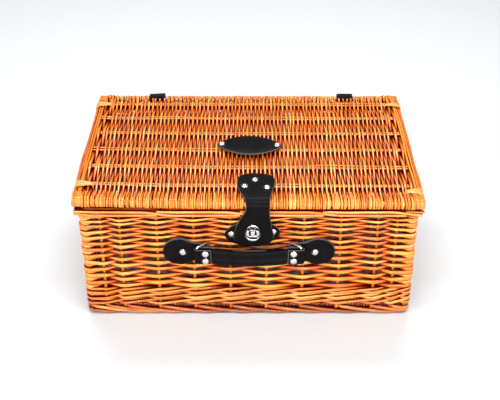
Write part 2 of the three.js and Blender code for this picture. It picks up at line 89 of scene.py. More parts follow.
# The back stick is a little thinner than its loops, lies forward in them and hangs low.
BACK_STICK = centre("lid_back_stick") - np.array([0, 0.8, 0]) * MM
BACK_RADIUS = 2.3 * MM
BACK_SAG = 1.3 * MM
RIBS = [centre(f"lid_rib_{i}") for i in range(1, 7)]
RIB_ENDS = corners("lid_rib_1")[1][0]
LID_PLACES = np.array([FRONT_STICK[1]] + [rib[1] for rib in RIBS] + [BACK_STICK[1]])

BODY_LOW, BODY_HIGH = corners("foot_border")
BODY_Y = (BODY_LOW[1] + BODY_HIGH[1]) / 2
WALL_THICKNESS = 2 * middle_and_half("front_wall_weave")[1][1]
WALL_MID_X = BODY_HIGH[0] - WALL_THICKNESS / 2
WALL_MID_Y = (BODY_HIGH[1] - BODY_LOW[1]) / 2 - WALL_THICKNESS / 2
WALL_BOTTOM = corners("front_wall_weave")[0][2]
RANDING_BOTTOM = 40 * MM
RIM_LOW = corners("front_wall_weave")[1][2]
RIM_TOP = corners("front_stakes_and_rim")[1][2]
BASE_LOW, BASE_HIGH = corners("base_weave")
BASE_RECESS = 3.5 * MM
WIRE_RADIUS = 1.4 * MM


# ------------------------------------------------------------------ mesh helpers


def unit(vectors):
    return vectors / np.maximum(np.linalg.norm(vectors, axis=-1, keepdims=True), 1e-12)


def wander(rng, count, knots, amount):
    """A smooth random line of that many values, through so many random knots."""
    at = np.linspace(0, knots - 1, count)
    values = rng.normal(0, amount, knots)
    low = np.minimum(at.astype(int), knots - 2)
    share = at - low
    share = share * share * (3 - 2 * share)
    return values[low] * (1 - share) + values[low + 1] * share


def new_object(name, points, faces, material, smooth=True):
    mesh = bpy.data.meshes.new(name)
    mesh.from_pydata([tuple(p) for p in points], [], faces)
    mesh.polygons.foreach_set("use_smooth", np.full(len(mesh.polygons), smooth))
    mesh.update()
    piece = bpy.data.objects.new(name, mesh)
    bpy.context.scene.collection.objects.link(piece)
    piece.data.materials.append(material)
    return piece


def band_faces(rows, around, joined=False, capped=True, first=0):
    """Faces over rows of points that each go round once.

    The rows are capped at both ends, or left open, or the last row is joined to the first.
    """
    index = np.arange(rows * around).reshape(rows, around) + first
    here = index if joined else index[:-1]
    there = np.roll(index, -1, 0) if joined else index[1:]
    quads = np.stack([here, np.roll(here, -1, 1), np.roll(there, -1, 1), there], -1)
    faces = quads.reshape(-1, 4).tolist()
    if capped and not joined:
        faces += [index[0, ::-1].tolist(), index[-1].tolist()]
    return faces


def add_attribute(piece, name, values, kind="FLOAT"):
    layer = piece.data.attributes.new(name, kind, "POINT")
    key = "value" if kind == "FLOAT" else "vector"
    layer.data.foreach_set(key, np.asarray(values, np.float32).ravel())


def cross_frames(path, across, closed):
    """The two directions across a path at each of its points: near across, and square to it."""
    if closed:
        tangent = np.roll(path, -1, 0) - np.roll(path, 1, 0)
    else:
        tangent = np.gradient(path, axis=0)
    tangent = unit(tangent)
    side = np.broadcast_to(across, path.shape)
    side = unit(side - (side * tangent).sum(1, keepdims=True) * tangent)
    return side, np.cross(tangent, side)


def walked(path):
    """How far along a path each of its points is."""
    steps = np.linalg.norm(np.diff(path, axis=0), axis=1)
    return np.concatenate([[0], np.cumsum(steps)])


def place(piece, body, slot, *nodes):
    """Puts a finished piece on its body, in place of those nodes of the frame."""
    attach(piece, body)
    if nodes:
        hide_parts(*nodes)


GRAIN_RADIUS = 2 * MM


class Rods:
    """Many swept rods gathered in one mesh.

    Each has its own tone and grain. open says how much light each point of it gets: a rod that
    bulges out of the weave is bright on its outer side, and dark where it dives between others.
    """

    def __init__(self, seed, warp=None):
        self.rng = np.random.default_rng(seed)
        self.warp = warp
        self.faces = []
        self.kept = {"points": [], "tone": [], "grain": [], "cut": [], "open": []}
        self.count = 0

    def add(self, path, wide, tall=None, across=Z_AXIS, tone=0.5, closed=False, sides=8,
            face=None, crest=1.0):
        """A rod along path. wide is its reach along across, and tall its other reach.

        face is the way out of the weave, and crest, from -1 to 1, how far out the rod has come.
        """
        path = np.asarray(path, float)
        n = len(path)
        wide = np.broadcast_to(wide, n)[:, None]
        tall = wide if tall is None else np.broadcast_to(tall, n)[:, None]
        side, up = (way[:, None] for way in cross_frames(path, across, closed))
        angle = np.arange(sides) * 2 * np.pi / sides
        cos, sin = np.cos(angle), np.sin(angle)
        ring = (wide * cos)[..., None] * side + (tall * sin)[..., None] * up
        points = (path[:, None] + ring).reshape(-1, 3)
        outward = np.ones((n, sides))
        if face is not None:
            spoke = cos[:, None] * side + sin[:, None] * up
            outward = (spoke * np.broadcast_to(face, path.shape)[:, None]).sum(2)
        crest = np.broadcast_to(crest, n)[:, None]
        # open is painted light and shade: bright on the side facing out where the rod comes out of the
        # weave, dark on its sides and where it dives in.
        opens = np.abs(outward) * (0.62 + 0.38 * crest * np.sign(outward))
        grain = np.empty((n, sides, 3))
        grain[..., 0] = walked(path)[:, None]
        grain[..., 1] = cos * GRAIN_RADIUS
        grain[..., 2] = sin * GRAIN_RADIUS
        grain += self.rng.uniform(0, 40, 3)
        tones = np.repeat(np.broadcast_to(tone, n), sides)
        self.faces += band_faces(n, sides, closed, False, self.count)
        self._keep(points, tones, grain.reshape(-1, 3), np.zeros(len(points)), opens.ravel())
        if not closed:
            self._cap(points[:sides], tones[0], grain[0], True)
            self._cap(points[-sides:], tones[-1], grain[-1], False)

    def _keep(self, *values):
        for kept, value in zip(self.kept.values(), values):
            kept.append(value)
        self.count += len(values[0])

    def _cap(self, ring, tone, grain, at_start):
        """A cut end: its own ring of points, so that its edge stays sharp."""
        order = list(range(self.count, self.count + len(ring)))
        self.faces.append(order[::-1] if at_start else order)
        ones = np.ones(len(ring))
        self._keep(ring, ones * tone, grain, ones, ones)

    def gathered(self, name, material):
        """All the rods as one object, without their attributes."""
        points = np.concatenate(self.kept["points"])
        if self.warp is not None:
            points = self.warp(points)
        return new_object(name, points, self.faces, material)

    def finish(self, name, material, slot, body, *nodes):
        piece = self.gathered(name, material)
        for key in ("tone", "cut", "open"):
            add_attribute(piece, key, np.concatenate(self.kept[key]))
        add_attribute(piece, "grain", np.concatenate(self.kept["grain"]), "FLOAT_VECTOR")
        place(piece, body, slot, *nodes)


# ------------------------------------------------------------------ materials


def new_material(name):
    material = bpy.data.materials.new(name)
    material.use_nodes = True
    tree = material.node_tree
    shader = tree.nodes["Principled BSDF"]
    return material, tree, shader


def node(tree, kind, **settings):
    made = tree.nodes.new(kind)
    for key, value in settings.items():
        setattr(made, key, value)
    return made


def math_node(tree, operation, a, b=None, clamp=False):
    made = node(tree, "ShaderNodeMath", operation=operation, use_clamp=clamp)
    for socket, value in zip(made.inputs, (a, b)):
        if value is None:
            continue
        if isinstance(value, (int, float)):
            socket.default_value = value
        else:
            tree.links.new(value, socket)
    return made.outputs[0]


def scaled(tree, value, by, plus=0.0):
    """The value times one number, plus another."""
    made = math_node(tree, "MULTIPLY", value, by)
    return math_node(tree, "ADD", made, plus) if plus else made


def attribute(tree, name, output):
    return node(tree, "ShaderNodeAttribute", attribute_name=name).outputs[output]


def noise(tree, vector, scale, detail, stretch=(1, 1, 1)):
    mapping = node(tree, "ShaderNodeMapping")
    mapping.inputs["Scale"].default_value = stretch
    tree.links.new(vector, mapping.inputs["Vector"])
    made = node(tree, "ShaderNodeTexNoise")
    made.inputs["Scale"].default_value = scale
    made.inputs["Detail"].default_value = detail
    tree.links.new(mapping.outputs[0], made.inputs["Vector"])
    return made.outputs["Fac"]


def ramp(tree, value, stops):
    made = node(tree, "ShaderNodeValToRGB")
    elements = made.color_ramp.elements
    while len(elements) < len(stops):
        elements.new(0.5)
    for element, (place, colour) in zip(elements, stops):
        element.position = place
        element.color = (*colour, 1)
    tree.links.new(value, made.inputs["Fac"])
    return made.outputs["Color"]


def mix_colour(tree, share, a, b, blend="MIX"):
    made = node(tree, "ShaderNodeMix", data_type="RGBA", blend_type=blend)
    for socket, value in ((made.inputs[0], share), (made.inputs[6], a), (made.inputs[7], b)):
        if isinstance(value, (int, float)):
            socket.default_value = value
        elif isinstance(value, tuple):
            socket.default_value = (*value, 1)
        else:
            tree.links.new(value, socket)
    return made.outputs[2]


def bump(tree, shader, height, strength, distance):
    made = node(tree, "ShaderNodeBump")
    made.inputs["Strength"].default_value = strength
    made.inputs["Distance"].default_value = distance
    tree.links.new(height, made.inputs["Height"])
    tree.links.new(made.outputs[0], shader.inputs["Normal"])


def willow_material(name, deep, honey, pale):
    """Varnished willow: streaks along each rod, a tone for each rod, and painted red-brown shade in the
    crevices.
    """
    material, tree, shader = new_material(name)
    grain = attribute(tree, "grain", "Vector")
    tone = attribute(tree, "tone", "Fac")
    blotch = noise(tree, grain, 1.0, 3, (45, 150, 150))
    streak = noise(tree, grain, 1.0, 4, (60, 1500, 1500))
    value = scaled(tree, tone, 0.55)
    value = math_node(tree, "ADD", value, scaled(tree, blotch, 0.5))
    value = math_node(tree, "ADD", value, scaled(tree, streak, 0.4))
    value = math_node(tree, "SUBTRACT", value, 0.23, clamp=True)
    colour = ramp(tree, value, ((0.1, deep), (0.5, honey), (0.9, pale)))
    knots = noise(tree, grain, 1.0, 1, (70, 260, 260))
    knots = ramp(tree, knots, ((0.66, (0, 0, 0)), (0.74, (1, 1, 1))))
    colour = mix_colour(tree, scaled(tree, knots, 0.45), colour, (0.2, 0.05, 0.006))
    cut = attribute(tree, "cut", "Fac")
    colour = mix_colour(tree, scaled(tree, cut, 0.6), colour, (0.7, 0.42, 0.16))
    # Painted shade: where open is low, in the crevices of the weave, the colour is multiplied down to
    # red-brown and near black.
    open_to_light = attribute(tree, "open", "Fac")
    stops = ((0.0, (0.01, 0.0, 0.0)), (0.36, (0.42, 0.055, 0.004)), (0.7, (1, 1, 1)))
    painted_crevice_shade = ramp(tree, open_to_light, stops)
    colour = mix_colour(tree, 1.0, colour, painted_crevice_shade, "MULTIPLY")
    tree.links.new(colour, shader.inputs["Base Color"])
    tree.links.new(scaled(tree, streak, 0.25, 0.22), shader.inputs["Roughness"])
    # The gloss fades with the same painted shade.
    gloss_where_lit = ramp(tree, open_to_light, ((0.3, (0, 0, 0)), (0.8, (1, 1, 1))))
    tree.links.new(scaled(tree, gloss_where_lit, 0.25), shader.inputs["Specular IOR Level"])
    shader.inputs["Specular Tint"].default_value = (1.0, 0.66, 0.34, 1.0)
    tree.links.new(scaled(tree, gloss_where_lit, 0.8), shader.inputs["Coat Weight"])
    shader.inputs["Coat Roughness"].default_value = 0.17
    shader.inputs["Coat IOR"].default_value = 1.62
    bump(tree, shader, streak, 0.35, 0.4 * MM)
    return material


def leather_material():
    """Black leather with a fine pebbled grain, a soft sheen and greyer cut edges."""
    material, tree, shader = new_material("black_leather")
    place = node(tree, "ShaderNodeTexCoord").outputs["Object"]
    cells = node(tree, "ShaderNodeTexVoronoi", feature="SMOOTH_F1")
    cells.inputs["Scale"].default_value = 1500
    tree.links.new(place, cells.inputs["Vector"])
    creases = noise(tree, place, 420, 4)
    height = math_node(tree, "ADD", cells.outputs["Distance"], creases)
    worn = noise(tree, place, 60, 3)
    colour = ramp(tree, worn, ((0.3, (0.0018, 0.0015, 0.0018)), (0.75, (0.005, 0.0042, 0.0048))))
    edge = attribute(tree, "edge", "Fac")
    colour = mix_colour(tree, scaled(tree, edge, 0.8), colour, (0.12, 0.11, 0.11))
    tree.links.new(colour, shader.inputs["Base Color"])
    tree.links.new(scaled(tree, worn, 0.2, 0.28), shader.inputs["Roughness"])
    shader.inputs["Specular IOR Level"].default_value = 0.055
    bump(tree, shader, height, 0.35, 0.15 * MM)
    return material


def nickel_material():
    """Polished nickel with fine marks, and painted shade darkening its grooves, slots and hollows."""
    material, tree, shader = new_material("nickel")
    place = node(tree, "ShaderNodeTexCoord").outputs["Object"]
    marks = noise(tree, place, 500, 5)
    tint = ramp(tree, marks, ((0.3, (0.5, 0.46, 0.45)), (0.7, (0.76, 0.71, 0.69))))
    # Painted shade: the metal is darkened towards black by the shade values on the mesh.
    painted_shade = attribute(tree, "painted_shade", "Fac")
    tint = mix_colour(tree, painted_shade, tint, (0.012, 0.01, 0.01))
    tree.links.new(tint, shader.inputs["Base Color"])
    shader.inputs["Metallic"].default_value = 1.0
    tree.links.new(scaled(tree, marks, 0.16, 0.1), shader.inputs["Roughness"])
    return material


def cotton_material():
    """Plain-woven grey cotton: two sets of threads, and slubs."""
    material, tree, shader = new_material("cotton_lining")
    place = node(tree, "ShaderNodeTexCoord").outputs["Object"]
    slubs = noise(tree, place, 90, 4)
    threads = None
    for stretch in ((1400, 60, 60), (60, 1400, 60), (60, 60, 1400)):
        one = noise(tree, place, 1.0, 2, stretch)
        threads = one if threads is None else math_node(tree, "ADD", threads, one)
    value = math_node(tree, "ADD", scaled(tree, threads, 0.3), slubs)
    colour = ramp(tree, value, ((0.5, (0.2, 0.17, 0.2)), (1.0, (0.38, 0.34, 0.38))))
    tree.links.new(colour, shader.inputs["Base Color"])
    shader.inputs["Roughness"].default_value = 0.9
    shader.inputs["Sheen Weight"].default_value = 0.3
    bump(tree, shader, threads, 0.4, 0.3 * MM)
    return material


WILLOW = willow_material("willow", (0.42, 0.055, 0.001), (0.8, 0.22, 0.01), (0.98, 0.46, 0.1))
WALE = willow_material("willow_wale", (0.34, 0.045, 0.001), (0.64, 0.17, 0.01), (0.9, 0.42, 0.09))
# Darker willow for the foot border and the woven floor; on the recessed floor the darkness is painted
# shade.
FOOT = willow_material("willow_foot", (0.11, 0.01, 0.0), (0.36, 0.065, 0.003), (0.78, 0.28, 0.04))
SKEIN = willow_material("willow_skein", (0.46, 0.11, 0.01), (0.72, 0.25, 0.035), (0.88, 0.42, 0.1))
LEATHER = leather_material()
NICKEL = nickel_material()
COTTON = cotton_material()


# ------------------------------------------------------------------ lid


def in_turn(count, first):
    """1 and -1 in turn, for over one stick and under the next. 1 comes first if first is even."""
    return (-1) ** (np.arange(count) + first)


def weave_step(t):
    """From 1 to -1 as t goes from 0 to 1, bending most at the ends."""
    return (np.cos(np.pi * t) + 0.09 * np.cos(3 * np.pi * t)) / 1.09


def arc(centre_y, centre_z, radius, start, end, count):
    angle = np.radians(np.linspace(start, end, count))
    return np.stack([centre_y + radius * np.cos(angle), centre_z + radius * np.sin(angle)], 1)


def woven_course(places, reach, signs, middle, tails, wrap_back=True):
    """A strand's course over and under a row of sticks that lie along X, and round the end ones.

    Returns (x = 0, y, z) points, the way out of the weave at each, and how far out it has come.
    signs is 1 where the strand passes over a stick and -1 where it passes under. A strand that
    comes over the top goes round the first or last stick and ends below it, and the other way.
    """
    points, faces, crests = [], [], []

    def keep(y, z, face, crest):
        points.append(np.column_stack([np.zeros(len(y)), y, z]))
        faces.append(np.broadcast_to(face, (len(y), 3)))
        crests.append(np.broadcast_to(crest, len(y)))

    def turn_round(k, sign, back):
        spread = np.linspace(90, -90, 11) if sign > 0 else np.linspace(-90, 90, 11)
        angle = np.radians(spread if back else 180 - spread)
        spokes = np.column_stack([np.zeros(11), np.cos(angle), np.sin(angle)])
        centre_point = np.array([0, places[k], middle])
        tail = tails[0] if sign < 0 else tails[1]
        ahead = -1 if back else 1
        turned = centre_point + reach[k] * spokes
        end = turned[-1] + np.array([[0, ahead * tail / 2, 0], [0, ahead * tail, -sign * 0.6 * MM]])
        turned = np.concatenate([turned, end])
        spokes = np.concatenate([spokes, [[0, 0, -sign]] * 2])
        return (turned, spokes) if back else (turned[::-1], spokes[::-1])

    turned, spokes = turn_round(0, signs[0], False)
    keep(turned[:-1, 1], turned[:-1, 2], spokes[:-1], 1.0)
    for k in range(len(places) - 1):
        t = np.linspace(0, 1, 10)[: 10 if k == len(places) - 2 and not wrap_back else 9]
        step = weave_step(t)
        z0, z1 = signs[k] * reach[k], signs[k + 1] * reach[k + 1]
        y = places[k] + (places[k + 1] - places[k]) * t
        crest = (signs[k] + signs[k + 1]) / 2 + (signs[k] - signs[k + 1]) / 2 * step
        keep(y, middle + (z0 + z1) / 2 + (z0 - z1) / 2 * step, Z_AXIS, np.clip(crest, -1, 1))
    if wrap_back:
        turned, spokes = turn_round(-1, signs[-1], True)
        keep(turned[:, 1], turned[:, 2], spokes, 1.0)
    return np.concatenate(points), np.concatenate(faces), np.concatenate(crests)


def lid_warp(points):
    """The lid has warped a little with age.

    Its front left corner stands a few millimetres high, and its back stick hangs low in its loops.
    """
    left = np.maximum(0, (-points[:, 0] - 40 * MM) / (160 * MM)) ** 1.3
    front = (LID_HIGH[1] - points[:, 1]) / LID_DEPTH
    points = points.copy()
    points[:, 2] += 3.8 * MM * left * np.clip(front, 0, 1.05)
    points[:, 2] -= BACK_SAG * np.clip(1 - 4 * front, 0, 1)
    return points


def lid_strand(rods, x, parity, radius, rib_reach, wrap_back=True, back=None):
    """One strand of the lid's weave, at that x."""
    rng = rods.rng
    places = LID_PLACES if back is None else np.append(LID_PLACES[:-1], back)
    reach = np.full(len(places), rib_reach)
    reach[0] = STICK_RADIUS + radius
    reach[-1] = BACK_RADIUS + radius
    signs = in_turn(len(places), parity)
    tails = rng.uniform(9, 15, 2) * MM
    path, face, crest = woven_course(places, reach, signs, LID_MID, tails, wrap_back)
    n = len(path)
    path[:, 0] = x + rng.normal(0, 0.5 * MM) * np.linspace(-1, 1, n) + wander(rng, n, 12, 0.28 * MM)
    path[:, 2] += wander(rng, n, 16, 0.2 * MM)
    in_weave = (path[:, 1] > places[0] + 12 * MM) & (path[:, 1] < places[-1] - 12 * MM)
    swell = 1 + 0.16 * crest**2 * in_weave
    thick = radius * np.linspace(1.05, 0.95, n)[:: rng.choice([-1, 1])]
    tone = rng.uniform(0.1, 0.9) + wander(rng, n, 6, 0.06)
    rods.add(path, thick * swell, thick, X_AXIS, np.clip(tone, 0, 1), face=face, crest=crest)


def lid_weave():
    """The strands that run from front to back, packed side by side."""
    rods = Rods(11, lid_warp)
    rng = rods.rng
    count = 138
    pitch = (LID_HIGH[0] - LID_LOW[0]) / count
    hinges = [centre("hinge_strap_left")[0], centre("hinge_strap_right")[0]]
    strap_half = (corners("hinge_strap_left")[1] - corners("hinge_strap_left")[0])[0] / 2
    notch_end = corners("hinge_strap_left")[0][1] - 1.5 * MM
    for i in range(count):
        x = LID_LOW[0] + (i + 0.5) * pitch
        at_hinge = any(abs(x - hinge) < strap_half + 1.2 * MM for hinge in hinges)
        radius = pitch / 2 * rng.uniform(0.94, 1.08)
        rib_reach = 3.7 * MM * rng.uniform(0.95, 1.08)
        lid_strand(rods, x, i, radius, rib_reach, not at_hinge, notch_end if at_hinge else None)
    rods.finish("lid_strands", WILLOW, "willow", "lid", "lid_weave")


def lid_ribs():
    """Each rib is two thin rods side by side."""
    for k, rib in enumerate(RIBS):
        rods = Rods(31 + k, lid_warp)
        rng = rods.rng
        for side in (-1, 1):
            x = np.linspace(-RIB_ENDS, RIB_ENDS, 60) * rng.uniform(0.985, 1.0)
            y = rib[1] + side * 2.1 * MM + wander(rng, 60, 9, 0.35 * MM)
            z = LID_MID + wander(rng, 60, 9, 0.3 * MM)
            taper = np.linspace(2.2, 1.8, 60)[::side] * MM
            path = np.column_stack([x, y, z])
            rods.add(path, taper, tone=rng.uniform(0.3, 0.9), face=Z_AXIS, crest=0.6)
        rods.finish(f"rib_rods_{k + 1}", WILLOW, "willow", "lid", f"lid_rib_{k + 1}")


def lid_sticks():
    """The two thick sticks that the lid's strands go round."""
    ends = (("front", FRONT_STICK, STICK_RADIUS, 41), ("back", BACK_STICK, BACK_RADIUS, 42))
    for end, stick, radius, seed in ends:
        rods = Rods(seed, lid_warp)
        rng = rods.rng
        x = np.linspace(-RIB_ENDS, RIB_ENDS, 80)
        y = stick[1] + wander(rng, 80, 8, 0.15 * MM)
        thick = radius * (1 + wander(rng, 80, 14, 0.02))
        path = np.column_stack([x, y, np.full(80, LID_MID)])
        rods.add(path, thick, tone=0.45, sides=14)
        rods.finish(f"{end}_stick", WILLOW, "willow", "lid", f"lid_{end}_stick")


def lid_edge_rod(rods, side, x, layer, radius):
    """A straight rod along the lid's end, above the ribs, below them, or across their ends."""
    rng = rods.rng
    reach = np.full(len(LID_PLACES), 2.1 * MM + radius)
    reach[0] = STICK_RADIUS + radius
    reach[-1] = BACK_RADIUS + radius
    signs = np.full(len(LID_PLACES), 1 if layer >= 0 else -1)
    path, face, crest = woven_course(LID_PLACES, reach, signs, LID_MID, (11 * MM, 12 * MM))
    n = len(path)
    front = np.clip((BACK_STICK[1] - path[:, 1]) / (BACK_STICK[1] - FRONT_STICK[1]), 0, 1)
    between = np.clip(4 * front * (1 - front), 0, 1) ** 0.5
    path[:, 0] = side * (x + (1.4 * front - 0.9) * MM + 1.2 * MM * between) + wander(rng, n, 9, 0.4 * MM)
    if layer == 0:
        path[:, 2] += (LID_MID - path[:, 2]) * 0.85 * between
    thick = radius * (1.02 + wander(rng, n, 6, 0.03))
    tone = rng.uniform(0.0, 0.7)
    rods.add(path, thick, across=X_AXIS, tone=tone, sides=10, face=face, crest=np.abs(crest))


def lid_end_rods():
    """The lid's ends: three thicker woven strands, then straight rods above, below and across."""
    for name, side, seed in (("left", -1, 51), ("right", 1, 52)):
        rods = Rods(seed, lid_warp)
        for k, x in enumerate((181.8, 185.3, 188.9)):
            lid_strand(rods, side * x * MM, k + (side > 0), 1.75 * MM, 3.9 * MM)
        above = [(x, 1) for x in (191.4, 194.3, 197.1)]
        below = [(x, -1) for x in (190.4, 193.2, 195.9, 198.3)]
        for x, layer in (*above, *below, (199.0, 0)):
            lid_edge_rod(rods, side, x * MM, layer, 1.35 * MM)
        rods.finish(f"end_rods_{name}", WILLOW, "willow", "lid", f"lid_end_rods_{name}")


def lid_bindings():
    """Flat bands of split willow wound round the end rods near the lid's corners.

    They are spread at the lid's edge and run together where they go down between two strands.
    """
    angle = np.linspace(0, 2 * np.pi, 49)[:-1]
    box_x = np.sign(np.cos(angle)) * np.abs(np.cos(angle)) ** 0.35
    box_z = np.sign(np.sin(angle)) * np.abs(np.sin(angle)) ** 0.6
    for k, where in enumerate(("front_left", "front_right", "back_left", "back_right")):
        middle, half = middle_and_half(f"lid_binding_{where}")
        rods = Rods(61 + k, lid_warp)
        rng = rods.rng
        outer_share = (1 + np.sign(middle[0]) * box_x) / 2
        spread = (0.8 + 2.3 * outer_share) * MM
        for turn in (-2, -1, 0, 1, 2):
            slant = 1.2 * MM * np.cos(angle + rng.uniform(-0.4, 0.4)) * rng.uniform(-1, 1)
            y = middle[1] + turn * spread + slant + wander(rng, 48, 6, 0.12 * MM)
            lift = 1 + 0.03 * (abs(turn) % 2)
            x = middle[0] + box_x * (half[0] + 0.3 * MM) * lift
            z = middle[2] + box_z * (half[2] + 0.4 * MM) * lift
            band = np.column_stack([x, y, z])
            rods.add(band, 1.3 * MM, 0.5 * MM, Y_AXIS, rng.uniform(0.2, 0.95), True, 8)
        rods.finish(f"binding_{where}", SKEIN, "willow_skein", "lid", f"lid_binding_{where}")


# ------------------------------------------------------------------ body


CORNER_RADIUS = 3.5 * MM
STAKE_PITCH = 42.8
FRONT_STAKES = np.array([-172, *(STAKE_PITCH * (np.arange(8) - 3.5)), 172]) * MM
SIDE_STAKES = np.linspace(-82.2, 82.2, 5) * MM
STAKE_COUNTS = np.array([len(FRONT_STAKES), len(SIDE_STAKES)] * 2)
POST_AT = np.cumsum(STAKE_COUNTS + 1) - 1


class Outline:
    """The walls' middle line, a rounded rectangle, walked anticlockwise from the front left."""

    def __init__(self, half_x, half_y, radius):
        self.half_x, self.half_y, self.radius = half_x, half_y, radius
        self.straight_x = 2 * (half_x - radius)
        self.straight_y = 2 * (half_y - radius)
        self.quarter = math.pi / 2 * radius
        self.length = 2 * (self.straight_x + self.straight_y) + 4 * self.quarter

    def at(self, distance):
        """The point and the outward direction at each distance along the line."""
        distance = np.asarray(distance) % self.length
        point = np.zeros((len(distance), 3))
        outward = np.zeros((len(distance), 3))
        start = 0.0
        heading = 0.0
        corner = np.array([-self.half_x + self.radius, -self.half_y])
        for straight in (self.straight_x, self.straight_y, self.straight_x, self.straight_y):
            ahead = np.array([math.cos(heading), math.sin(heading)])
            right = np.array([math.sin(heading), -math.cos(heading)])
            on = (distance >= start) & (distance < start + straight)
            point[on, :2] = corner + (distance[on] - start)[:, None] * ahead
            outward[on, :2] = right
            corner = corner + straight * ahead
            pivot = corner - self.radius * right
            start += straight
            on = (distance >= start) & (distance < start + self.quarter)
            turn = (distance[on] - start) / self.radius
            spoke = np.cos(turn)[:, None] * right + np.sin(turn)[:, None] * ahead
            point[on, :2] = pivot + self.radius * spoke
            outward[on, :2] = spoke
            corner = pivot + self.radius * ahead
            start += self.quarter
            heading += math.pi / 2
        point[:, 1] += BODY_Y
        return point, outward

    def walk(self, count):
        """That many places evenly spaced round the line, with their points and outward directions."""
        distance = np.linspace(0, self.length, count + 1)[:-1]
        return distance, *self.at(distance)

    def supports(self):
        """How far along the line each stake and corner post stands, in order."""
        front = FRONT_STAKES + self.half_x - self.radius
        side = SIDE_STAKES + self.half_y - self.radius
        places = []
        start = 0.0
        for stakes, straight in ((front, self.straight_x), (side, self.straight_y)) * 2:
            places += [start + s for s in stakes]
            start += straight
            places.append(start + self.quarter / 2)
            start += self.quarter
        return np.array(places)


OUTLINE = Outline(WALL_MID_X, WALL_MID_Y, CORNER_RADIUS)
SUPPORTS = OUTLINE.supports()


def between_supports(distance):
    """For each distance, the index of the support behind it and how far it is to the next, 0 to 1."""
    loop = np.concatenate([SUPPORTS, [SUPPORTS[0] + OUTLINE.length]])
    distance = np.where(distance < SUPPORTS[0], distance + OUTLINE.length, distance)
    index = np.searchsorted(loop, distance, side="right") - 1
    index = np.clip(index, 0, len(SUPPORTS) - 1)
    return index, (distance - loop[index]) / (loop[index + 1] - loop[index])


WALK, WALK_POINT, WALK_OUTWARD = OUTLINE.walk(720)
WALK_INDEX, WALK_T = between_supports(WALK)


def straight_step(t):
    """From 1 to -1 as t goes from 0 to 1, in a straight line."""
    return 1 - 2 * t


def eased(values, step=weave_step):
    """Values given at the supports, carried smoothly between them all along the walk."""
    here = values[WALK_INDEX]
    there = values[(WALK_INDEX + 1) % len(values)]
    return (here + there) / 2 + (here - there) / 2 * step(WALK_T)


def rods_of_row(rng, signs):
    """A row's rods follow each other, each from behind a stake: their tones, and their taper."""
    hidden = np.flatnonzero(signs < 0)
    starts = hidden[rng.integers(2) :: 2]
    segment = np.searchsorted(starts, WALK_INDEX, side="right") - 1
    gone = (WALK_INDEX + WALK_T - starts[segment]) % len(SUPPORTS)
    span = (np.roll(starts, -1) - starts) % len(SUPPORTS)
    tone = rng.uniform(0.05, 0.95, len(starts))[segment]
    butt = rng.uniform(0.98, 1.14, len(starts))[segment]
    return tone, butt - 0.14 * gone / span[segment]


def row_signs(row):
    """1 where a row passes outside a stake and -1 inside. Every row passes outside the posts."""
    signs = np.ones(len(SUPPORTS))
    stakes = np.delete(np.arange(len(SUPPORTS)), POST_AT)
    signs[stakes] = in_turn(len(stakes), row)
    return signs


def wall_randing():
    """Rows of single rods that go in front of one stake and behind the next, round all four walls."""
    rows = 24
    top = RIM_LOW - 1.2 * MM
    growth = np.linspace(0.76, 1.24, rows)
    pitches = growth * (top - RANDING_BOTTOM) / growth.sum()
    half_thick = 1.9 * MM
    swing = WALL_THICKNESS / 2 - half_thick
    groups = (
        ("upper", range(0, 12), ("front_wall_weave", "back_wall_weave")),
        ("lower", range(12, 24), ("left_wall_weave", "right_wall_weave")),
    )
    for number, (group, chosen, nodes) in enumerate(groups):
        rods = Rods(71 + number)
        rng = rods.rng
        for row in chosen:
            pitch = pitches[row]
            z = top - pitches[:row].sum() - pitch / 2
            signs = row_signs(row)
            depth = rng.uniform(0.88, 1.05, len(signs))
            depth[POST_AT] = rng.uniform(0.75, 1.15, len(POST_AT))
            wave = eased(signs * depth)
            tilt = eased(rng.normal(0, 0.65 * MM, len(SUPPORTS)))
            tone, thick = rods_of_row(rng, signs)
            path = WALK_POINT + WALK_OUTWARD * (wave * swing)[:, None]
            path[:, 2] = z + tilt
            tall = pitch * (0.49 + 0.09 * wave**2) * thick
            crest = np.clip(wave, -1, 1)
            rods.add(path, tall, half_thick * thick, Z_AXIS, tone, True, 10, WALK_OUTWARD, crest)
        rods.finish(f"wall_randing_{group}", WILLOW, "willow", "basket", *nodes)


def wall_waling():
    """Three-rod waling at the foot: each rod passes two supports in front and one behind."""
    rods = Rods(81)
    rng = rods.rng
    rows = 3
    bottom = WALL_BOTTOM + 3 * MM
    pitch = (RANDING_BOTTOM - bottom) / rows
    swing = WALL_THICKNESS / 2 - 1.7 * MM
    rise = 6.2 * MM
    radius = 2.0 * MM
    supports = np.arange(len(SUPPORTS))
    for row in range(rows):
        for rod in range(3):
            stage = (supports + rod + row) % 3
            out = np.where(stage == 2, -1.0, 1.0)
            lift = np.choose(stage, [-0.5, 0.5, 0.0]) * rise + rng.normal(0, 0.35 * MM, len(stage))
            tone, thick = rods_of_row(rng, out)
            wave = eased(out)
            path = WALK_POINT + WALK_OUTWARD * (swing * wave)[:, None]
            path[:, 2] = bottom + (row + 0.5) * pitch + eased(lift, straight_step)
            crest = np.clip(wave + 0.3, -1, 1)
            rods.add(path, radius * thick, None, Z_AXIS, tone, True, 8, WALK_OUTWARD, crest)
    rods.finish("wall_waling", WALE, "willow", "basket")


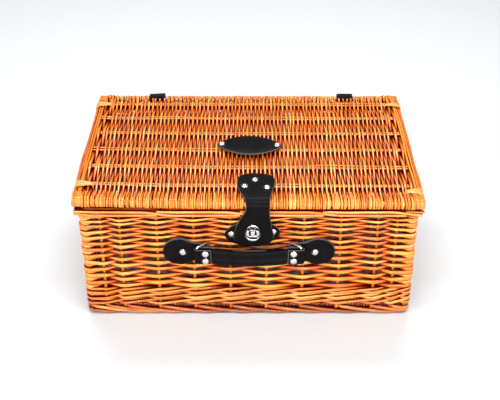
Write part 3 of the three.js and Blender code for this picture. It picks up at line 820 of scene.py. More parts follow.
def stakes():
    """The upright stakes inside each wall, and the corner posts."""
    stake_points, post_points = 30, 24
    places, outward = OUTLINE.at(SUPPORTS)
    corner_names = ("front_right", "back_right", "back_left", "front_left")
    first = 0
    for side, count, corner in zip(("front", "right", "back", "left"), STAKE_COUNTS, corner_names):
        post = first + count
        rods = Rods(91 + post)
        rng = rods.rng
        for k in range(first, post):
            path = np.tile(places[k], (stake_points, 1))
            path += outward[k] * wander(rng, stake_points, 6, 0.15 * MM)[:, None]
            path[:, 2] = np.linspace(BASE_LOW[2], RIM_TOP - 4 * MM, stake_points)
            taper = np.linspace(2.6, 2.2, stake_points) * MM
            rods.add(path, taper, across=X_AXIS, tone=rng.uniform(0.1, 0.6), face=outward[k], crest=0.2)
        rods.finish(f"{side}_stakes", WILLOW, "willow", "basket")
        rods = Rods(131 + post)
        path = np.tile(places[post] - outward[post] * 2 * MM, (post_points, 1))
        path[:, 2] = np.linspace(BASE_LOW[2], RIM_LOW, post_points)
        rods.add(path, 4.3 * MM, across=X_AXIS, tone=0.3, sides=14, face=outward[post], crest=0)
        rods.finish(f"post_{corner}", WILLOW, "willow", "basket", f"corner_post_{corner}")
        first = post + 1


def stroke(rods, start, length, knots, outs, heights, radius, tone):
    """An open rod that follows the walls. Its depth and height are given at knots along it."""
    count = 34
    t = np.linspace(0, 1, count)
    point, outward = OUTLINE.at(start + length * t)
    path = point + outward * smooth_between(t, knots, outs)[:, None]
    path[:, 2] = np.interp(t, knots, heights)
    thick = np.linspace(radius, radius * 0.86, count)
    # Painted shade: crest falls along the stroke, so its later part, where it goes under the next rods,
    # is darker.
    crest = np.interp(t, [0, 0.1, 0.5, 1], [0.2, 1, 0.5, -0.7])
    rods.add(path, thick, across=Z_AXIS, tone=tone, sides=10, face=outward, crest=crest)


def ring_rod(rods, out, z, radius, tone):
    """A plain rod all the way round, hidden inside a border."""
    count = 300
    _, point, outward = OUTLINE.walk(count)
    path = point + outward * (out + wander(rods.rng, count, 40, 0.1 * MM))[:, None]
    path[:, 2] = z
    rods.add(path, radius, across=Z_AXIS, tone=tone, closed=True, face=outward, crest=-0.4)


def rim_border():
    """The border round the top: long rods laid along each wall, their ends past the corners."""
    rods = Rods(101)
    rng = rods.rng
    radius = 1.95 * MM
    top, bottom = RIM_TOP - radius - 0.1 * MM, RIM_LOW + radius - 0.2 * MM
    length, spacing = 190 * MM, 95 * MM
    long_wall = (WALL_MID_X, WALL_MID_Y, 9 * MM)
    short_wall = (WALL_MID_Y, WALL_MID_X, 5 * MM)
    walls = ((X_AXIS, *long_wall), (Y_AXIS, *short_wall), (-X_AXIS, *long_wall), (-Y_AXIS, *short_wall))
    even = np.linspace(0, 1, 4)
    for ahead, half, distance, past in walls:
        out = np.cross(ahead, Z_AXIS)
        for begin in np.arange(-half - past - spacing, half, spacing):
            a = max(begin, -half - past - rng.uniform(-1.5, 0.5) * MM)
            b = min(begin + length, half + past + rng.uniform(-1.5, 0.5) * MM)
            if b - a < 12 * MM:
                continue
            along = np.linspace(a, b, 40)
            t = (along - begin) / length
            depth = smooth_between(t, [0, 0.15, 1], [6.6 * MM, 7.7 * MM, 7.7 * MM])
            path = ahead * along[:, None] + out * (distance + depth)[:, None]
            path[:, 1] += BODY_Y
            path[:, 2] = smooth_between(t, [0, 0.4, 0.62, 1], [top, top, bottom, bottom])
            path[:, 2] += wander(rng, 40, 5, 0.2 * MM)
            rods.add(path, 1.75 * MM, tone=rng.uniform(0.3, 0.85), sides=10, face=out)
    ring_rod(rods, 4.2 * MM, RIM_TOP - 3.4 * MM, 2.6 * MM, 0.5)
    ring_rod(rods, 4.4 * MM, RIM_LOW + 2.6 * MM, 2.2 * MM, 0.4)
    for start in np.arange(0, OUTLINE.length, 55 * MM):
        outs, heights = np.array([-3, 2, 2, -1]) * MM, RIM_TOP - np.array([6, 2.2, 1.8, 5]) * MM
        stroke(rods, start, 120 * MM, even, outs, heights, 2.1 * MM, rng.uniform(0.3, 0.9))
        outs, heights = np.array([0, -4, -4, -2]) * MM, RIM_TOP - np.array([5, 2.4, 3, 6]) * MM
        stroke(rods, start, 120 * MM, even, outs, heights, 2.0 * MM, rng.uniform(0.3, 0.9))
    nodes = [f"{side}_stakes_and_rim" for side in ("front", "back", "left", "right")]
    rods.finish("rim_border", WALE, "willow", "basket", *nodes)


def foot_rods():
    """The border that the hamper stands on: a rod from behind each stake, down and forward."""
    rods = Rods(103)
    rng = rods.rng
    ring_rod(rods, 0.2 * MM, 2.8 * MM, 2.6 * MM, 0.2)
    ring_rod(rods, -3.8 * MM, 2.8 * MM, 2.6 * MM, 0.2)
    knots = np.array([0, 0.1, 0.3, 0.6, 0.8, 1])
    outs = np.array([-3.6, 2.2, 3.2, 3.0, 1.4, -0.6]) * MM
    heights = np.array([12.0, 10.6, 7.6, 3.6, 2.9, 2.8]) * MM
    for place_along in SUPPORTS:
        start = place_along - 4 * MM + rng.normal(0, 1.2 * MM)
        stroke(rods, start, 100 * MM, knots, outs, heights, 2.7 * MM, rng.uniform(0.1, 0.95))
    rods.finish("foot_rods", FOOT, "willow", "basket", "foot_border")


def base_rods():
    """The woven floor: strands from front to back, over and under sticks that run across."""
    rods = Rods(105)
    rng = rods.rng
    half_x = (BASE_HIGH[0] - BASE_LOW[0]) / 2
    stick = 1.9 * MM
    strand = 0.95 * MM
    middle = (BASE_LOW[2] + BASE_HIGH[2]) / 2
    end = (BASE_HIGH[1] - BASE_LOW[1]) / 2 - stick - 2 * strand - BASE_RECESS
    places = BODY_Y + np.linspace(-end, end, 8)
    for y in places:
        x = np.linspace(-half_x, half_x, 40) * 0.99
        path = np.column_stack([x, np.full(40, y), np.full(40, middle)])
        rods.add(path, stick, tone=rng.uniform(0.2, 0.6))
    count = 112
    for i in range(count):
        x = -half_x + (i + 0.5) * 2 * half_x / count
        signs = in_turn(len(places), i)
        reach = np.full(len(places), stick + strand)
        path, face, crest = woven_course(places, reach, signs, middle, (9 * MM, 9 * MM))
        n = len(path)
        path[:, 0] = x + wander(rng, n, 10, 0.25 * MM)
        # Painted shade: the floor's strands take low tones and the dark foot willow, as the floor lies
        # recessed behind the walls.
        rods.add(path, 1.35 * MM, strand, X_AXIS, rng.uniform(0, 0.6), False, 6, face, crest)
    rods.finish("base_rods", FOOT, "willow", "basket", "base_weave")


# ------------------------------------------------------------------ lining


def lining():
    """Grey cotton sewn in over the walls and the floor, with soft puckers."""
    low, high = corners("lining")
    rng = np.random.default_rng(121)
    thick = 0.8 * MM
    room = Outline((high[0] - low[0]) / 2 - thick, (high[1] - low[1]) / 2 - thick, 9 * MM)
    count = 240
    distance, point, outward = room.walk(count)
    floor = low[2] + thick
    top = high[2]
    middle = np.array([0, BODY_Y, 0])
    rings = []
    for share in (0.06, 0.2, 0.4, 0.6, 0.78, 0.9, 0.97):
        ring = middle + (point - middle) * share
        ring[:, 2] = floor + 0.4 * MM * np.sin(distance * 70 + share * 9)
        rings.append(ring)
    phase = wander(rng, count, 30, 1.2) * np.sin(np.linspace(0, np.pi, count)) ** 0.3
    for height in np.linspace(0.012, 1, 26):
        fold = 0.9 * MM * np.sin(distance * 115 + phase + height * 1.5) * (1 - 0.6 * height)
        fold += 0.5 * MM * np.sin(distance * 41 - height * 5 + phase)
        hem = 0.9 * MM if 0.94 < height < 0.98 else 0
        ring = point - outward * (1.2 * MM + fold - hem)[:, None]
        ring[:, 2] = floor + (top - floor) * height
        rings.append(ring)
    points = np.concatenate(rings + [middle[None] + [[0, 0, floor]]])
    faces = band_faces(len(rings), count, capped=False)
    hub = len(points) - 1
    faces += [(hub, (k + 1) % count, k) for k in range(count)]
    piece = new_object("cotton_lining", points, faces, COTTON)
    solidify = piece.modifiers.new("thickness", "SOLIDIFY")
    solidify.thickness = thick
    solidify.offset = 0
    place(piece, "basket", "cotton_lining", "lining")


# ------------------------------------------------------------------ leather


def strip(name, path, half_width, across, thickness, rows_across=6, dome=0.0, offset=None):
    """A strip of leather of one thickness along a path, with rounded edges and closed ends.

    half_width gives its outline along the path, and dome lifts its middle.
    """
    path = np.asarray(path, float)
    n = len(path)
    wide = np.broadcast_to(half_width, n).astype(float)
    side, up = cross_frames(path, np.asarray(across, float), False)
    if offset is not None:
        path = path + side * np.asarray(offset)[:, None]
    half = thickness / 2
    flat = np.linspace(-1, 1, rows_across + 1)
    turn = np.radians([60, 25, 0, -25, -60])
    section = [(f, 0.0, 1.0, 0.0) for f in flat]
    section += [(1.0, math.cos(a), math.sin(a), 1.0 if abs(a) < 0.6 else 0.4) for a in turn]
    section += [(f, 0.0, -1.0, 0.0) for f in flat[::-1]]
    section += [(-1.0, -math.cos(a), -math.sin(a), 1.0 if abs(a) < 0.6 else 0.4) for a in turn]
    share, roll, level, edge = (np.array(v) for v in zip(*section))
    lip = np.minimum(half * 0.8, wide)
    reach = share[None, :] * (wide - lip)[:, None] + roll[None, :] * lip[:, None]
    crown = dome * (1 - share**2)[None, :] * (wide / wide.max())[:, None] * (level > 0)[None, :]
    rise = level[None, :] * half + crown
    points = path[:, None, :] + reach[..., None] * side[:, None, :] + rise[..., None] * up[:, None, :]
    m = len(section)
    faces = [face[::-1] for face in band_faces(n, m)]
    piece = new_object(name, points.reshape(-1, 3), faces, LEATHER)
    edges = np.tile(edge, n)
    edges[:m] = 1
    edges[-m:] = 1
    add_attribute(piece, "edge", edges)
    return piece


def round_end(count, start, end, at_start=True, at_end=True):
    """Places from start to end, crowded together at the ends that are round."""
    t = np.linspace(0, 1, count)
    if at_start and at_end:
        t = (1 - np.cos(np.pi * t)) / 2
    elif at_start:
        t = 1 - np.cos(np.pi * t / 2)
    elif at_end:
        t = np.sin(np.pi * t / 2)
    return start + (end - start) * t


def smooth_between(x, knots, values):
    """Values at knots, eased from one to the next."""
    x = np.asarray(x)
    order = np.argsort(knots)
    knots, values = np.asarray(knots, float)[order], np.asarray(values, float)[order]
    index = np.clip(np.searchsorted(knots, x, side="right") - 1, 0, len(knots) - 2)
    t = np.clip((x - knots[index]) / (knots[index + 1] - knots[index]), 0, 1)
    t = t * t * (3 - 2 * t)
    return values[index] * (1 - t) + values[index + 1] * t


def superellipse(share, power):
    """How wide a round end is, that share of the way along it."""
    return (1 - (1 - np.clip(share, 0, 1)) ** power) ** (1 / power)


def flat_oval(name, node_name, rivets, normal, power, body, dome=0.0):
    """A lens or oval of leather lying along the line through its two rivets, facing along normal."""
    middle, half = middle_and_half(node_name)
    ahead = centre(rivets[1]) - centre(rivets[0])
    ahead = unit(ahead * (normal == 0))
    across = np.cross(normal, ahead)
    half_wide = half @ np.abs(np.round(across))
    x = round_end(64, -half[0], half[0])
    wide = half_wide * np.maximum(1 - np.abs(x / half[0]) ** 2, 0) ** power
    path = middle + x[:, None] * ahead
    thick = 2 * half @ np.abs(normal)
    piece = strip(name, path, np.maximum(wide, 0.2 * MM), across, thick, 12, dome)
    place(piece, body, "black_leather", node_name)


def label_patch():
    """A plain lens-shaped leather patch, slightly crowned, with blank leather on top."""
    rivets = ("label_rivet_left", "label_rivet_right")
    flat_oval("label_leather", "label_patch", rivets, Z_AXIS, 0.82, "lid", 1.3 * MM)


def lock_backplate():
    """The oval of leather behind the flap, on the wall."""
    rivets = ("lock_backplate_rivet_left", "lock_backplate_rivet_right")
    flat_oval("backplate_leather", "lock_backplate", rivets, -Y_AXIS, 0.5, "basket")


def hasp_edge(walk, knots):
    """One side edge of the hasp: x for each distance walked from the back of its head."""
    at, x = np.array(knots).T * MM
    slope = np.gradient(x, at)
    index = np.clip(np.searchsorted(at, walk, side="right") - 1, 0, len(at) - 2)
    span = at[index + 1] - at[index]
    t = np.clip((walk - at[index]) / span, 0, 1)
    here = (1 + 2 * t) * (1 - t) ** 2 * x[index] + t * (1 - t) ** 2 * span * slope[index]
    there = t * t * (3 - 2 * t) * x[index + 1] - t * t * (1 - t) * span * slope[index + 1]
    return here + there


HASP_LEFT = ((0, -13.2), (14, -13.3), (26, -13.1), (41, -9.4), (54, -4.6), (68, -3.6), (81, -9.6))
HASP_LEFT += ((93, -14.9), (106, -17.6), (130, -17.9))
HASP_RIGHT = ((0, 29.6), (14, 30.3), (26, 29.6), (41, 26.3), (54, 24.4), (74, 24.0), (90, 26.2))
HASP_RIGHT += ((104, 28.8), (130, 28.6))
HASP_DROP = 2.0 * MM


def hasp_leather():
    """One strap from its head on the lid, round the front edge and down to the lock."""
    _, top_high = corners("hasp_strap_top")
    flap_low, flap_high = corners("hasp_flap")
    thick = 2 * MM
    level = top_high[2] - thick / 2
    stick_y = FRONT_STICK[1]
    bend = level - LID_MID
    bottom = flap_low[2] - HASP_DROP
    over = np.column_stack([round_end(34, top_high[1], stick_y, True, False), np.full(34, level)])
    turn = arc(stick_y, LID_MID, bend, 90, 180, 14)[1:]
    z = round_end(60, LID_MID - 0.5 * MM, bottom, False, True)
    wall_side = flap_high[1] - thick / 2
    last_bend = LID_MID - 18 * MM
    lower = smooth_between(z, [bottom, last_bend, LID_MID], [wall_side, wall_side, stick_y - bend])
    profile = np.concatenate([over, turn, np.column_stack([lower, z])])
    path = np.column_stack([np.zeros(len(profile)), profile])
    walk = walked(path)
    left, right = hasp_edge(walk, HASP_LEFT), hasp_edge(walk, HASP_RIGHT)
    round_off = superellipse(walk / (14 * MM), 2.4) * superellipse((walk[-1] - walk) / (14 * MM), 2.4)
    wide = np.maximum((right - left) / 2 * round_off, 0.3 * MM)
    piece = strip("hasp_leather", path, wide, X_AXIS, thick, 14, 0, (left + right) / 2)
    cut_slot(piece)
    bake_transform(piece)
    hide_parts("hasp_strap_top", "hasp_flap")


def cut_slot(piece):
    """The hole in the flap that the turn button passes through."""
    post_y = centre("turn_lock_post")[1]
    x, _, z = centre("turn_button")
    half = KNOB_HOLE + 0.25 * MM
    rings = [oval(x, z, y, *half, 0.45, 48) for y in (post_y + 6 * MM, post_y - 12 * MM)]
    cutter = new_object("cutter", np.concatenate(rings), band_faces(2, 48), LEATHER)
    modifier = piece.modifiers.new("slot", "BOOLEAN")
    modifier.object = cutter
    modifier.operation = "DIFFERENCE"
    modifier.solver = "EXACT"
    depsgraph = bpy.context.evaluated_depsgraph_get()
    cut = bpy.data.meshes.new_from_object(piece.evaluated_get(depsgraph))
    piece.modifiers.clear()
    piece.data = cut
    bpy.data.objects.remove(cutter)


def handle_tab(side_name, side):
    """A pear-shaped tab, folded double round the ring's inner bar."""
    low, high = corners(f"handle_tab_{side_name}")
    ring_low, ring_high = corners(f"handle_ring_{side_name}")
    wire = WIRE_RADIUS
    bar_x = ring_high[0] - wire if side < 0 else ring_low[0] + wire
    bar_y = ring_high[1] - wire
    z = (low[2] + high[2]) / 2
    tip = low[0] if side < 0 else high[0]
    lobe = (high[2] - low[2]) / 2
    leather = 1.9 * MM
    loop = wire + 0.45 * MM + leather / 2
    back_y = high[1] - leather / 2
    front_y = back_y - leather - 0.05 * MM
    length = abs(tip - bar_x)
    out = round_end(40, length, 7 * MM, True, False)
    front = np.column_stack([out, np.full(40, front_y)])
    rise = np.array([[5 * MM, bar_y - loop * 0.8], [2.5 * MM, bar_y - loop * 0.97]])
    angle = np.radians(np.linspace(-90, -270, 15))
    fold = np.column_stack([loop * np.cos(angle), bar_y + loop * np.sin(angle)])
    back = np.column_stack([out[::-1], np.full(40, back_y)])
    profile = np.concatenate([front, rise, fold, back])
    path = np.column_stack([bar_x + side * profile[:, 0], profile[:, 1], np.full(len(profile), z)])
    from_lobe = profile[:, 0] - (length - lobe)
    circle = np.sqrt(np.clip(lobe**2 - from_lobe**2, (0.2 * MM) ** 2, None))
    knots = np.array([-5, 1, 6, 16, 30]) * MM
    neck = smooth_between(profile[:, 0], knots, np.array([10, 10, 11.2, 12.8, 13.2]) * MM)
    neck = np.where(from_lobe > 0, 0, neck)
    wide = (circle**5 + neck**5) ** (1 / 5)
    piece = strip(f"tab_leather_{side_name}", path, wide, Z_AXIS, leather, 10)
    place(piece, "basket", "black_leather", f"handle_tab_{side_name}")


def hinge_strap(side_name, tilt):
    """A leather loop round the lid's back stick, with a tail down the back wall."""
    low, high = corners(f"hinge_strap_{side_name}")
    x = (low[0] + high[0]) / 2
    thick = 2.1 * MM
    radius = high[2] - LID_MID - thick / 2
    loop = arc(HINGE_Y, LID_MID, radius, -63, -360, 34)
    rim_y = high[1] - thick / 2
    wall_y = BODY_HIGH[1] + 0.4 * MM + thick / 2
    z = np.linspace(LID_MID - 3 * MM, low[2], 30)
    knots = [low[2], RIM_LOW - 12 * MM, RIM_LOW - 1 * MM]
    tail_y = smooth_between(z, knots, [wall_y, wall_y, rim_y])
    profile = np.concatenate([loop, np.column_stack([tail_y, z])])
    drop = profile[:, 1] - LID_MID
    path = np.column_stack([x + drop * math.tan(tilt), profile])
    left = walked(path)[-1] - walked(path)
    rounding = 6 * MM
    corner = rounding - np.sqrt(np.clip(rounding**2 - (rounding - left) ** 2, 0, None))
    wide = (high[0] - low[0]) / 2 - np.where(left < rounding, corner, 0)
    across = np.array([math.cos(tilt), 0, -math.sin(tilt)])
    piece = strip(f"hinge_leather_{side_name}", path, wide, across, thick, 8)
    place(piece, "basket", "black_leather", f"hinge_strap_{side_name}")


GRIP_BOW = 2.9 * MM
GRIP_LIFT = 1.4 * MM


def grip_height(x, half):
    """How far the grip's middle line stands above its ends' mean: it hangs down in the middle."""
    return GRIP_LIFT - GRIP_BOW * (1 - np.clip(np.abs(x) / half, 0, 1) ** 2)


def handle_leather():
    """The strap: from the front of the left loop round behind and through the grip to the right."""
    middle, half = middle_and_half("handle_strap")
    thick = 1.9 * MM
    gap = half[1] - thick / 2
    bar = half[0] - gap - thick / 2
    start = middle_and_half("handle_grip")[1][0] + 0.3 * MM
    lead = np.column_stack([np.linspace(start, bar, 12)[:-1], np.full(11, -gap)])
    angle = np.radians(np.linspace(-90, 90, 15))
    fold = np.column_stack([bar + gap * np.cos(angle), gap * np.sin(angle)])
    x = np.linspace(bar - 1 * MM, 2 * MM, 26)
    inward = smooth_between(x, [0, 36 * MM, 48 * MM, bar], [0, 0, gap, gap])
    right = np.concatenate([lead, fold, np.column_stack([x, inward])])
    profile = np.concatenate([right, right[::-1] * [-1, 1]])
    z = middle[2] + np.where(np.abs(profile[:, 0]) < 40 * MM, -0.5 * MM, 0)
    path = np.column_stack([middle[0] + profile[:, 0], middle[1] + profile[:, 1], z])
    knots = np.array([0, 34, 43, 60]) * MM
    widths = [8 * MM, 8 * MM, half[2], half[2]]
    wide = smooth_between(np.abs(profile[:, 0]), knots, widths)
    piece = strip("handle_leather", path, wide, Z_AXIS, thick, 8)
    place(piece, "handle", "black_leather", "handle_strap")


def handle_grip():
    """A padded leather sleeve with a seam along its front and a sewn lower edge."""
    middle, half = middle_and_half("handle_grip")
    n, m = 90, 72
    x = round_end(n, -half[0], half[0])
    angle = np.arange(m) * 2 * np.pi / m
    cos, sin = np.cos(angle), np.sin(angle)
    base_y = np.sign(cos) * np.abs(cos) ** 0.55 * half[1]
    base_z = np.sign(sin) * np.abs(sin) ** 0.6 * half[2]
    front = cos < 0
    seam = np.exp(-(((base_z + 1.2 * MM) / (0.7 * MM)) ** 2)) * front
    hem = np.exp(-(((base_z + 8.3 * MM) / (0.6 * MM)) ** 2)) * front
    base_y = base_y - 0.5 * MM * seam + 0.35 * MM * hem
    points = []
    for px in x:
        near = max(0.0, 1 - (half[0] - abs(px)) / (4 * MM))
        swell = 1 + 0.03 * math.cos(px / half[0] * math.pi / 2) - 0.16 * near**2
        y = middle[1] + base_y * swell
        z = middle[2] + base_z * (1 - 0.05 * near**2) + grip_height(px, half[0])
        points.append(np.column_stack([np.full(m, middle[0] + px), y, z]))
    piece = new_object("grip_leather", np.concatenate(points), band_faces(n, m), LEATHER)
    add_attribute(piece, "edge", np.tile(0.7 * seam, n))
    place(piece, "handle", "black_leather", "handle_grip")


# ------------------------------------------------------------------ metal


def lathe(name, profile, origin, axis, body, node_name, segments=40):
    """A turned piece: profile holds (radius, height) pairs from the axis to the axis.

    Its widest part, where it meets the leather, is painted dark: painted shade and a painted reflection
    of the black leather.
    """
    u = unit(np.cross(X_AXIS, axis))
    v = np.cross(axis, u)
    angle = np.arange(segments) * 2 * np.pi / segments
    spokes = np.cos(angle)[:, None] * u + np.sin(angle)[:, None] * v
    radii, heights = np.array(profile, float).T
    rings = [origin + axis * h + r * spokes for r, h in zip(radii[1:-1], heights[1:-1])]
    ends = [(origin + axis * h)[None] for h in (heights[0], heights[-1])]
    points = np.concatenate([ends[0], *rings, ends[1]])
    faces = band_faces(len(rings), segments, capped=False, first=1)
    last = len(points) - 1
    step = np.arange(segments)
    following = (step + 1) % segments
    faces += [(0, 1 + b, 1 + a) for a, b in zip(step, following)]
    faces += [(last, last - segments + a, last - segments + b) for a, b in zip(step, following)]
    piece = new_object(name, points, faces, NICKEL)
    # Painted shade and a painted reflection of the leather: the widest rings are darkened.
    painted_shades = 0.85 * np.clip((radii / radii.max() - 0.92) / 0.06, 0, 1)
    add_attribute(piece, "painted_shade", np.concatenate([[0], np.repeat(painted_shades[1:-1], segments), [0]]))
    place(piece, body, "nickel", node_name)


def rivet_profile(radius, height, shank):
    """A cap rivet: a thin skirt, a groove and a low dome."""
    profile = [(0, -shank), (1.4 * MM, -shank), (1.4 * MM, -0.2 * MM), (radius * 0.9, -0.25 * MM)]
    profile += [(radius, 0.0), (radius, 0.25 * MM), (radius * 0.94, 0.5 * MM)]
    profile += [(radius * 0.91, 0.5 * MM)]
    for angle in np.radians(np.linspace(8, 84, 9)):
        profile.append((radius * 0.9 * math.cos(angle), 0.5 * MM + (height - 0.5 * MM) * math.sin(angle)))
    profile.append((0, height))
    return profile


HEAD_RADIUS = 4.2 * MM
HEAD_HEIGHT = 1.9 * MM
STUD_DOME = 2.7 * MM


def rivets():
    """Every rivet: its head's seat and its shank's end are the frame's, and most domes are higher."""
    up, forward, back = Z_AXIS, -Y_AXIS, Y_AXIS
    table = [(f"hasp_rivet_{k}", up, "lid") for k in (1, 2, 3)]
    table += [(f"label_rivet_{s}", up, "lid") for s in ("left", "right")]
    for side in ("left", "right"):
        table.append((f"lock_backplate_rivet_{side}", forward, "basket"))
        table.append((f"handle_tab_rivet_{side}", forward, "basket"))
        table.append((f"hinge_rivet_{side}", back, "basket"))
        table += [(f"handle_rivet_{side}_{level}", forward, "handle") for level in ("upper", "lower")]
    for name, axis, body in table:
        middle, half = middle_and_half(name)
        reach = abs(half @ axis)
        seat = middle + axis * reach - axis * HEAD_HEIGHT
        dome = HEAD_HEIGHT if "backplate" in name else STUD_DOME
        profile = rivet_profile(HEAD_RADIUS, dome, 2 * reach - HEAD_HEIGHT)
        lathe(name.replace("rivet", "stud"), profile, seat, axis, body, name)


def wire_ring(side_name, side):
    """A rectangular loop of wire with rounded corners."""
    low, high = corners(f"handle_ring_{side_name}")
    inner_x, outer_x = (high[0], low[0]) if side < 0 else (low[0], high[0])
    inner = np.array([inner_x + side * WIRE_RADIUS, high[1] - WIRE_RADIUS])
    outer = np.array([outer_x - side * WIRE_RADIUS, low[1] + WIRE_RADIUS])
    half_long = np.linalg.norm(outer - inner) / 2
    ahead = np.array([*(outer - inner) / (2 * half_long), 0])
    half_high = (high[2] - low[2]) / 2 - WIRE_RADIUS
    corner = 2.2 * MM
    path = []
    for quarter, (su, sz) in enumerate(((1, 1), (-1, 1), (-1, -1), (1, -1))):
        angle = np.radians(np.linspace(0, 90, 9) + 90 * quarter)
        u = su * (half_long - corner) + corner * np.cos(angle)
        v = sz * (half_high - corner) + corner * np.sin(angle)
        path.append(np.column_stack([u, v]))
    flat = np.concatenate(path)
    middle = np.array([*(inner + outer) / 2, (low[2] + high[2]) / 2])
    points = middle + flat[:, :1] * ahead + flat[:, 1:] * Z_AXIS
    rods = Rods(141)
    rods.add(points, WIRE_RADIUS, across=np.cross(ahead, Z_AXIS), closed=True, sides=16)
    piece = rods.gathered(f"wire_ring_{side_name}", NICKEL)
    place(piece, f"ring_{side_name}", "nickel", f"handle_ring_{side_name}")


def loft(name, rings, painted_shades, body, node_name, closed=False):
    """A metal skin over rings of points, closed at both ends, or joined last to first.

    The third argument gives the painted shade of each ring, or of each point of it.
    """
    around = len(rings[0])
    faces = band_faces(len(rings), around, closed)
    piece = new_object(name, np.concatenate(rings), faces, NICKEL)
    add_attribute(piece, "painted_shade", np.concatenate([np.broadcast_to(painted_shade, around) for painted_shade in painted_shades]))
    place(piece, body, "nickel", node_name)


def oval(x, z, y, half_x, half_z, power=1.0, count=96):
    """A ring of points facing the front. A power below 1 squares its corners."""
    angle = np.arange(count) * 2 * np.pi / count
    cos, sin = np.cos(angle), np.sin(angle)
    px = x + np.sign(cos) * np.abs(cos) ** power * half_x
    pz = z + np.sign(sin) * np.abs(sin) ** power * half_z
    return np.column_stack([px, np.broadcast_to(y, count), pz])


KNOB_HOLE = np.array([7.75, 6.0]) * MM


def eyelet():
    """The oval plate on the flap: a raised, rounded ring round the hole for the knob."""
    low, high = corners("hasp_eyelet")
    place_x, _, place_z = centre("turn_button")
    back, front = high[1] / MM, low[1] / MM
    hole = KNOB_HOLE / MM
    sizes = (  # half width, half height, power, y, how low its middle is, painted shade
        (8.7, 11.5, 1, back, 1.6, 0.9),
        (8.8, 11.6, 1, back - 0.5, 1.6, 0.9),
        (8.6, 11.4, 1, front - 0.1, 1.6, 0.4),
        (8.5, 10.9, 0.95, front - 0.6, 1.6, 0),
        (8.2, 9.6, 0.85, front - 0.8, 1.3, 0),
        (8.1, 8.5, 0.75, front - 0.6, 1.1, 0),
        (8.0, 8.3, 0.75, front - 0.2, 1.1, 1),
        (*hole, 0.45, front + 0.2, 0, 1),
        (*hole, 0.45, back, 0, 1),
    )
    rings, painted_shades = [], []
    for half_x, half_z, power, y, fall, painted_shade in sizes:
        rings.append(oval(place_x, place_z - fall * MM, y * MM, half_x * MM, half_z * MM, power))
        painted_shades.append(painted_shade)
    loft("eyelet_plate", rings, painted_shades, "flap", "hasp_eyelet", closed=True)


def knob_slots(u, v):
    """1 in the two upright slots of the knob's face, and 0 outside them."""
    beside = np.exp(-(((np.abs(u) - 3.4 * MM) / (0.95 * MM)) ** 4))
    return beside * np.exp(-(((v - 1.1 * MM) / (3.3 * MM)) ** 6))


def knob_face(u, v, share):
    """How far back each point of the knob's face lies: two slots beside a fin, over a ledge."""
    fin = np.exp(-((u / (2.2 * MM)) ** 4)) * np.exp(-(((v - 1.2 * MM) / (3.0 * MM)) ** 6))
    ledge = 1 / (1 + np.exp((v + 2.4 * MM) / (0.35 * MM)))
    round_off = 1.3 * MM * share**4
    return round_off + 2.2 * MM * knob_slots(u, v) - 0.5 * MM * fin - 0.6 * MM * ledge * (1 - share**6)


KNOB_CUT_BACK = 1.3 * MM


def knob():
    """The turn button: a rounded block with a grip fin between two slots."""
    middle, half = middle_and_half("turn_button")
    back, front = middle[1] + half[1], middle[1] - half[1] + KNOB_CUT_BACK
    sides = (  # share of the full size, y, painted shade
        (0.8, back, 1),
        (0.94, back - 0.4 * MM, 0.9),
        (1.0, back - 1.2 * MM, 0.2),
        (1.0, front + 2.2 * MM, 0),
    )

    def ring_at(share, y):
        return oval(middle[0], middle[2], y, half[0] * share, half[2] * share, 0.7)

    rings = [ring_at(share, y) for share, y, _ in sides]
    painted_shades = [painted_shade for _, _, painted_shade in sides]
    for share in np.linspace(0.985, 0.03, 30):
        ring = ring_at(share, front)
        u, v = ring[:, 0] - middle[0], ring[:, 2] - middle[2]
        ring[:, 1] += 0.6 * MM + knob_face(u, v, share)
        rings.append(ring)
        # The slots get painted shade.
        painted_shades.append(np.clip(1.2 * knob_slots(u, v), 0, 1))
    loft("turn_knob", rings, painted_shades, "button", "turn_button")


def lock_post():
    """The turn lock's post: a flange on the backplate, and a shaft up to the back of the knob."""
    back = corners("turn_lock_post")[1][1]
    end = (back - corners("turn_button")[1][1]) / MM - 0.05
    flange = [(0, 0), (5.3, 0), (5.7, 0.3), (5.4, 0.9), (3.2, 1.1)]
    shaft = [(2.4, 1.5), (2.4, end - 0.2), (2.2, end), (0, end)]
    profile = np.array(flange + shaft) * MM
    place_x, _, place_z = centre("turn_button")
    lathe("lock_stem", profile, (place_x, back, place_z), -Y_AXIS, "basket", "turn_lock_post")


# ------------------------------------------------------------------ stage, light and camera


def stage():
    """The pale floor that the hamper stands on."""
    size = 6.0
    points = [(-size, -size, 0), (size, -size, 0), (size, size, 0), (-size, size, 0)]
    material, tree, shader = new_material("studio_floor")
    place = node(tree, "ShaderNodeTexCoord").outputs["Object"]
    cloud = noise(tree, place, 2, 2)
    colour = ramp(tree, cloud, ((0.3, (0.6, 0.625, 0.635)), (0.7, (0.62, 0.645, 0.655))))
    tree.links.new(colour, shader.inputs["Base Color"])
    shader.inputs["Roughness"].default_value = 0.8
    floor = new_object("floor", points, [(0, 1, 2, 3)], material, smooth=False)


def area_light(name, place, aim, size, power):
    """A rectangular softbox turned towards aim."""
    data = bpy.data.lights.new(name, "AREA")
    data.shape = "RECTANGLE"
    data.size, data.size_y = size
    data.energy = power
    light = bpy.data.objects.new(name, data)
    light.location = place
    light.rotation_euler = (Vector(aim) - Vector(place)).to_track_quat("-Z", "Y").to_euler()
    bpy.context.scene.collection.objects.link(light)


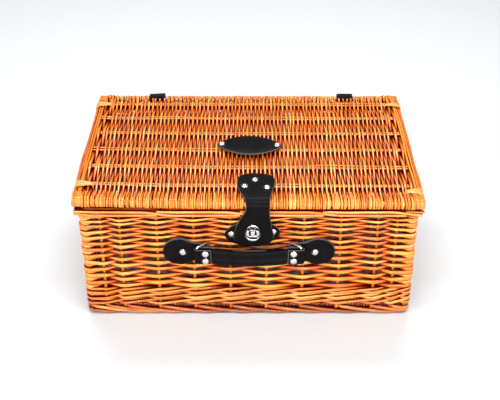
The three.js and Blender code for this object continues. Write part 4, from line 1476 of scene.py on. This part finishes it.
def lights():
    """Softboxes at the left and right, one above the front, one above the back, and a low strip."""
    aim = (0, BODY_Y, 0.1)
    area_light("front_top", (0.1, -0.75, 1.5), aim, (1.3, 0.12), 18)
    area_light("back_top", (-0.1, 0.8, 1.6), aim, (1.5, 0.45), 27)
    area_light("front_low", (0.0, -1.9, 0.42), aim, (1.8, 0.06), 26)
    area_light("left", (-1.3, -0.9, 0.7), aim, (0.3, 0.8), 12)
    area_light("right", (1.3, -0.9, 0.7), aim, (0.3, 0.8), 12)


def room():
    """A pale room all round, and plain colours."""
    world = bpy.data.worlds.new("studio")
    world.use_nodes = True
    background = world.node_tree.nodes["Background"]
    background.inputs["Color"].default_value = (1, 1, 1, 1)
    background.inputs["Strength"].default_value = 0.32
    bpy.context.scene.world = world
    view = bpy.context.scene.view_settings
    view.view_transform = "Standard"
    view.look = "None"
    view.exposure = 0.0


def camera():
    """Above and in front of the hamper, at the angle of the product view."""
    pitch, yaw, roll = (math.radians(a) for a in (33.28, -0.26, 0.18))
    turn = Matrix.Rotation(yaw, 3, "Z")
    right = turn @ Vector((1, 0, 0))
    ahead = turn @ Vector((0, math.cos(pitch), -math.sin(pitch)))
    up = turn @ Vector((0, math.sin(pitch), math.cos(pitch)))
    right, up = (
        right * math.cos(roll) + up * math.sin(roll),
        up * math.cos(roll) - right * math.sin(roll),
    )
    data = bpy.data.cameras.new("camera")
    data.lens = 73.4
    data.sensor_width = 36
    made = bpy.data.objects.new("camera", data)
    axes = Matrix((right, up, -ahead)).transposed().to_4x4()
    made.matrix_world = Matrix.Translation((-0.003, -1.0887, 0.802)) @ axes
    bpy.context.scene.collection.objects.link(made)
    bpy.context.scene.camera = made


# ------------------------------------------------------------------ assembly

camera()
lid_weave()
lid_ribs()
lid_sticks()
lid_end_rods()
lid_bindings()
wall_randing()
wall_waling()
stakes()
rim_border()
foot_rods()
base_rods()
lining()
label_patch()
hasp_leather()
lock_backplate()
for side_name, side, strap_tilt in (("left", -1, math.radians(-4)), ("right", 1, 0.0)):
    handle_tab(side_name, side)
    hinge_strap(side_name, strap_tilt)
    wire_ring(side_name, side)
handle_leather()
handle_grip()
rivets()
eyelet()
knob()
lock_post()
stage()
lights()
room()
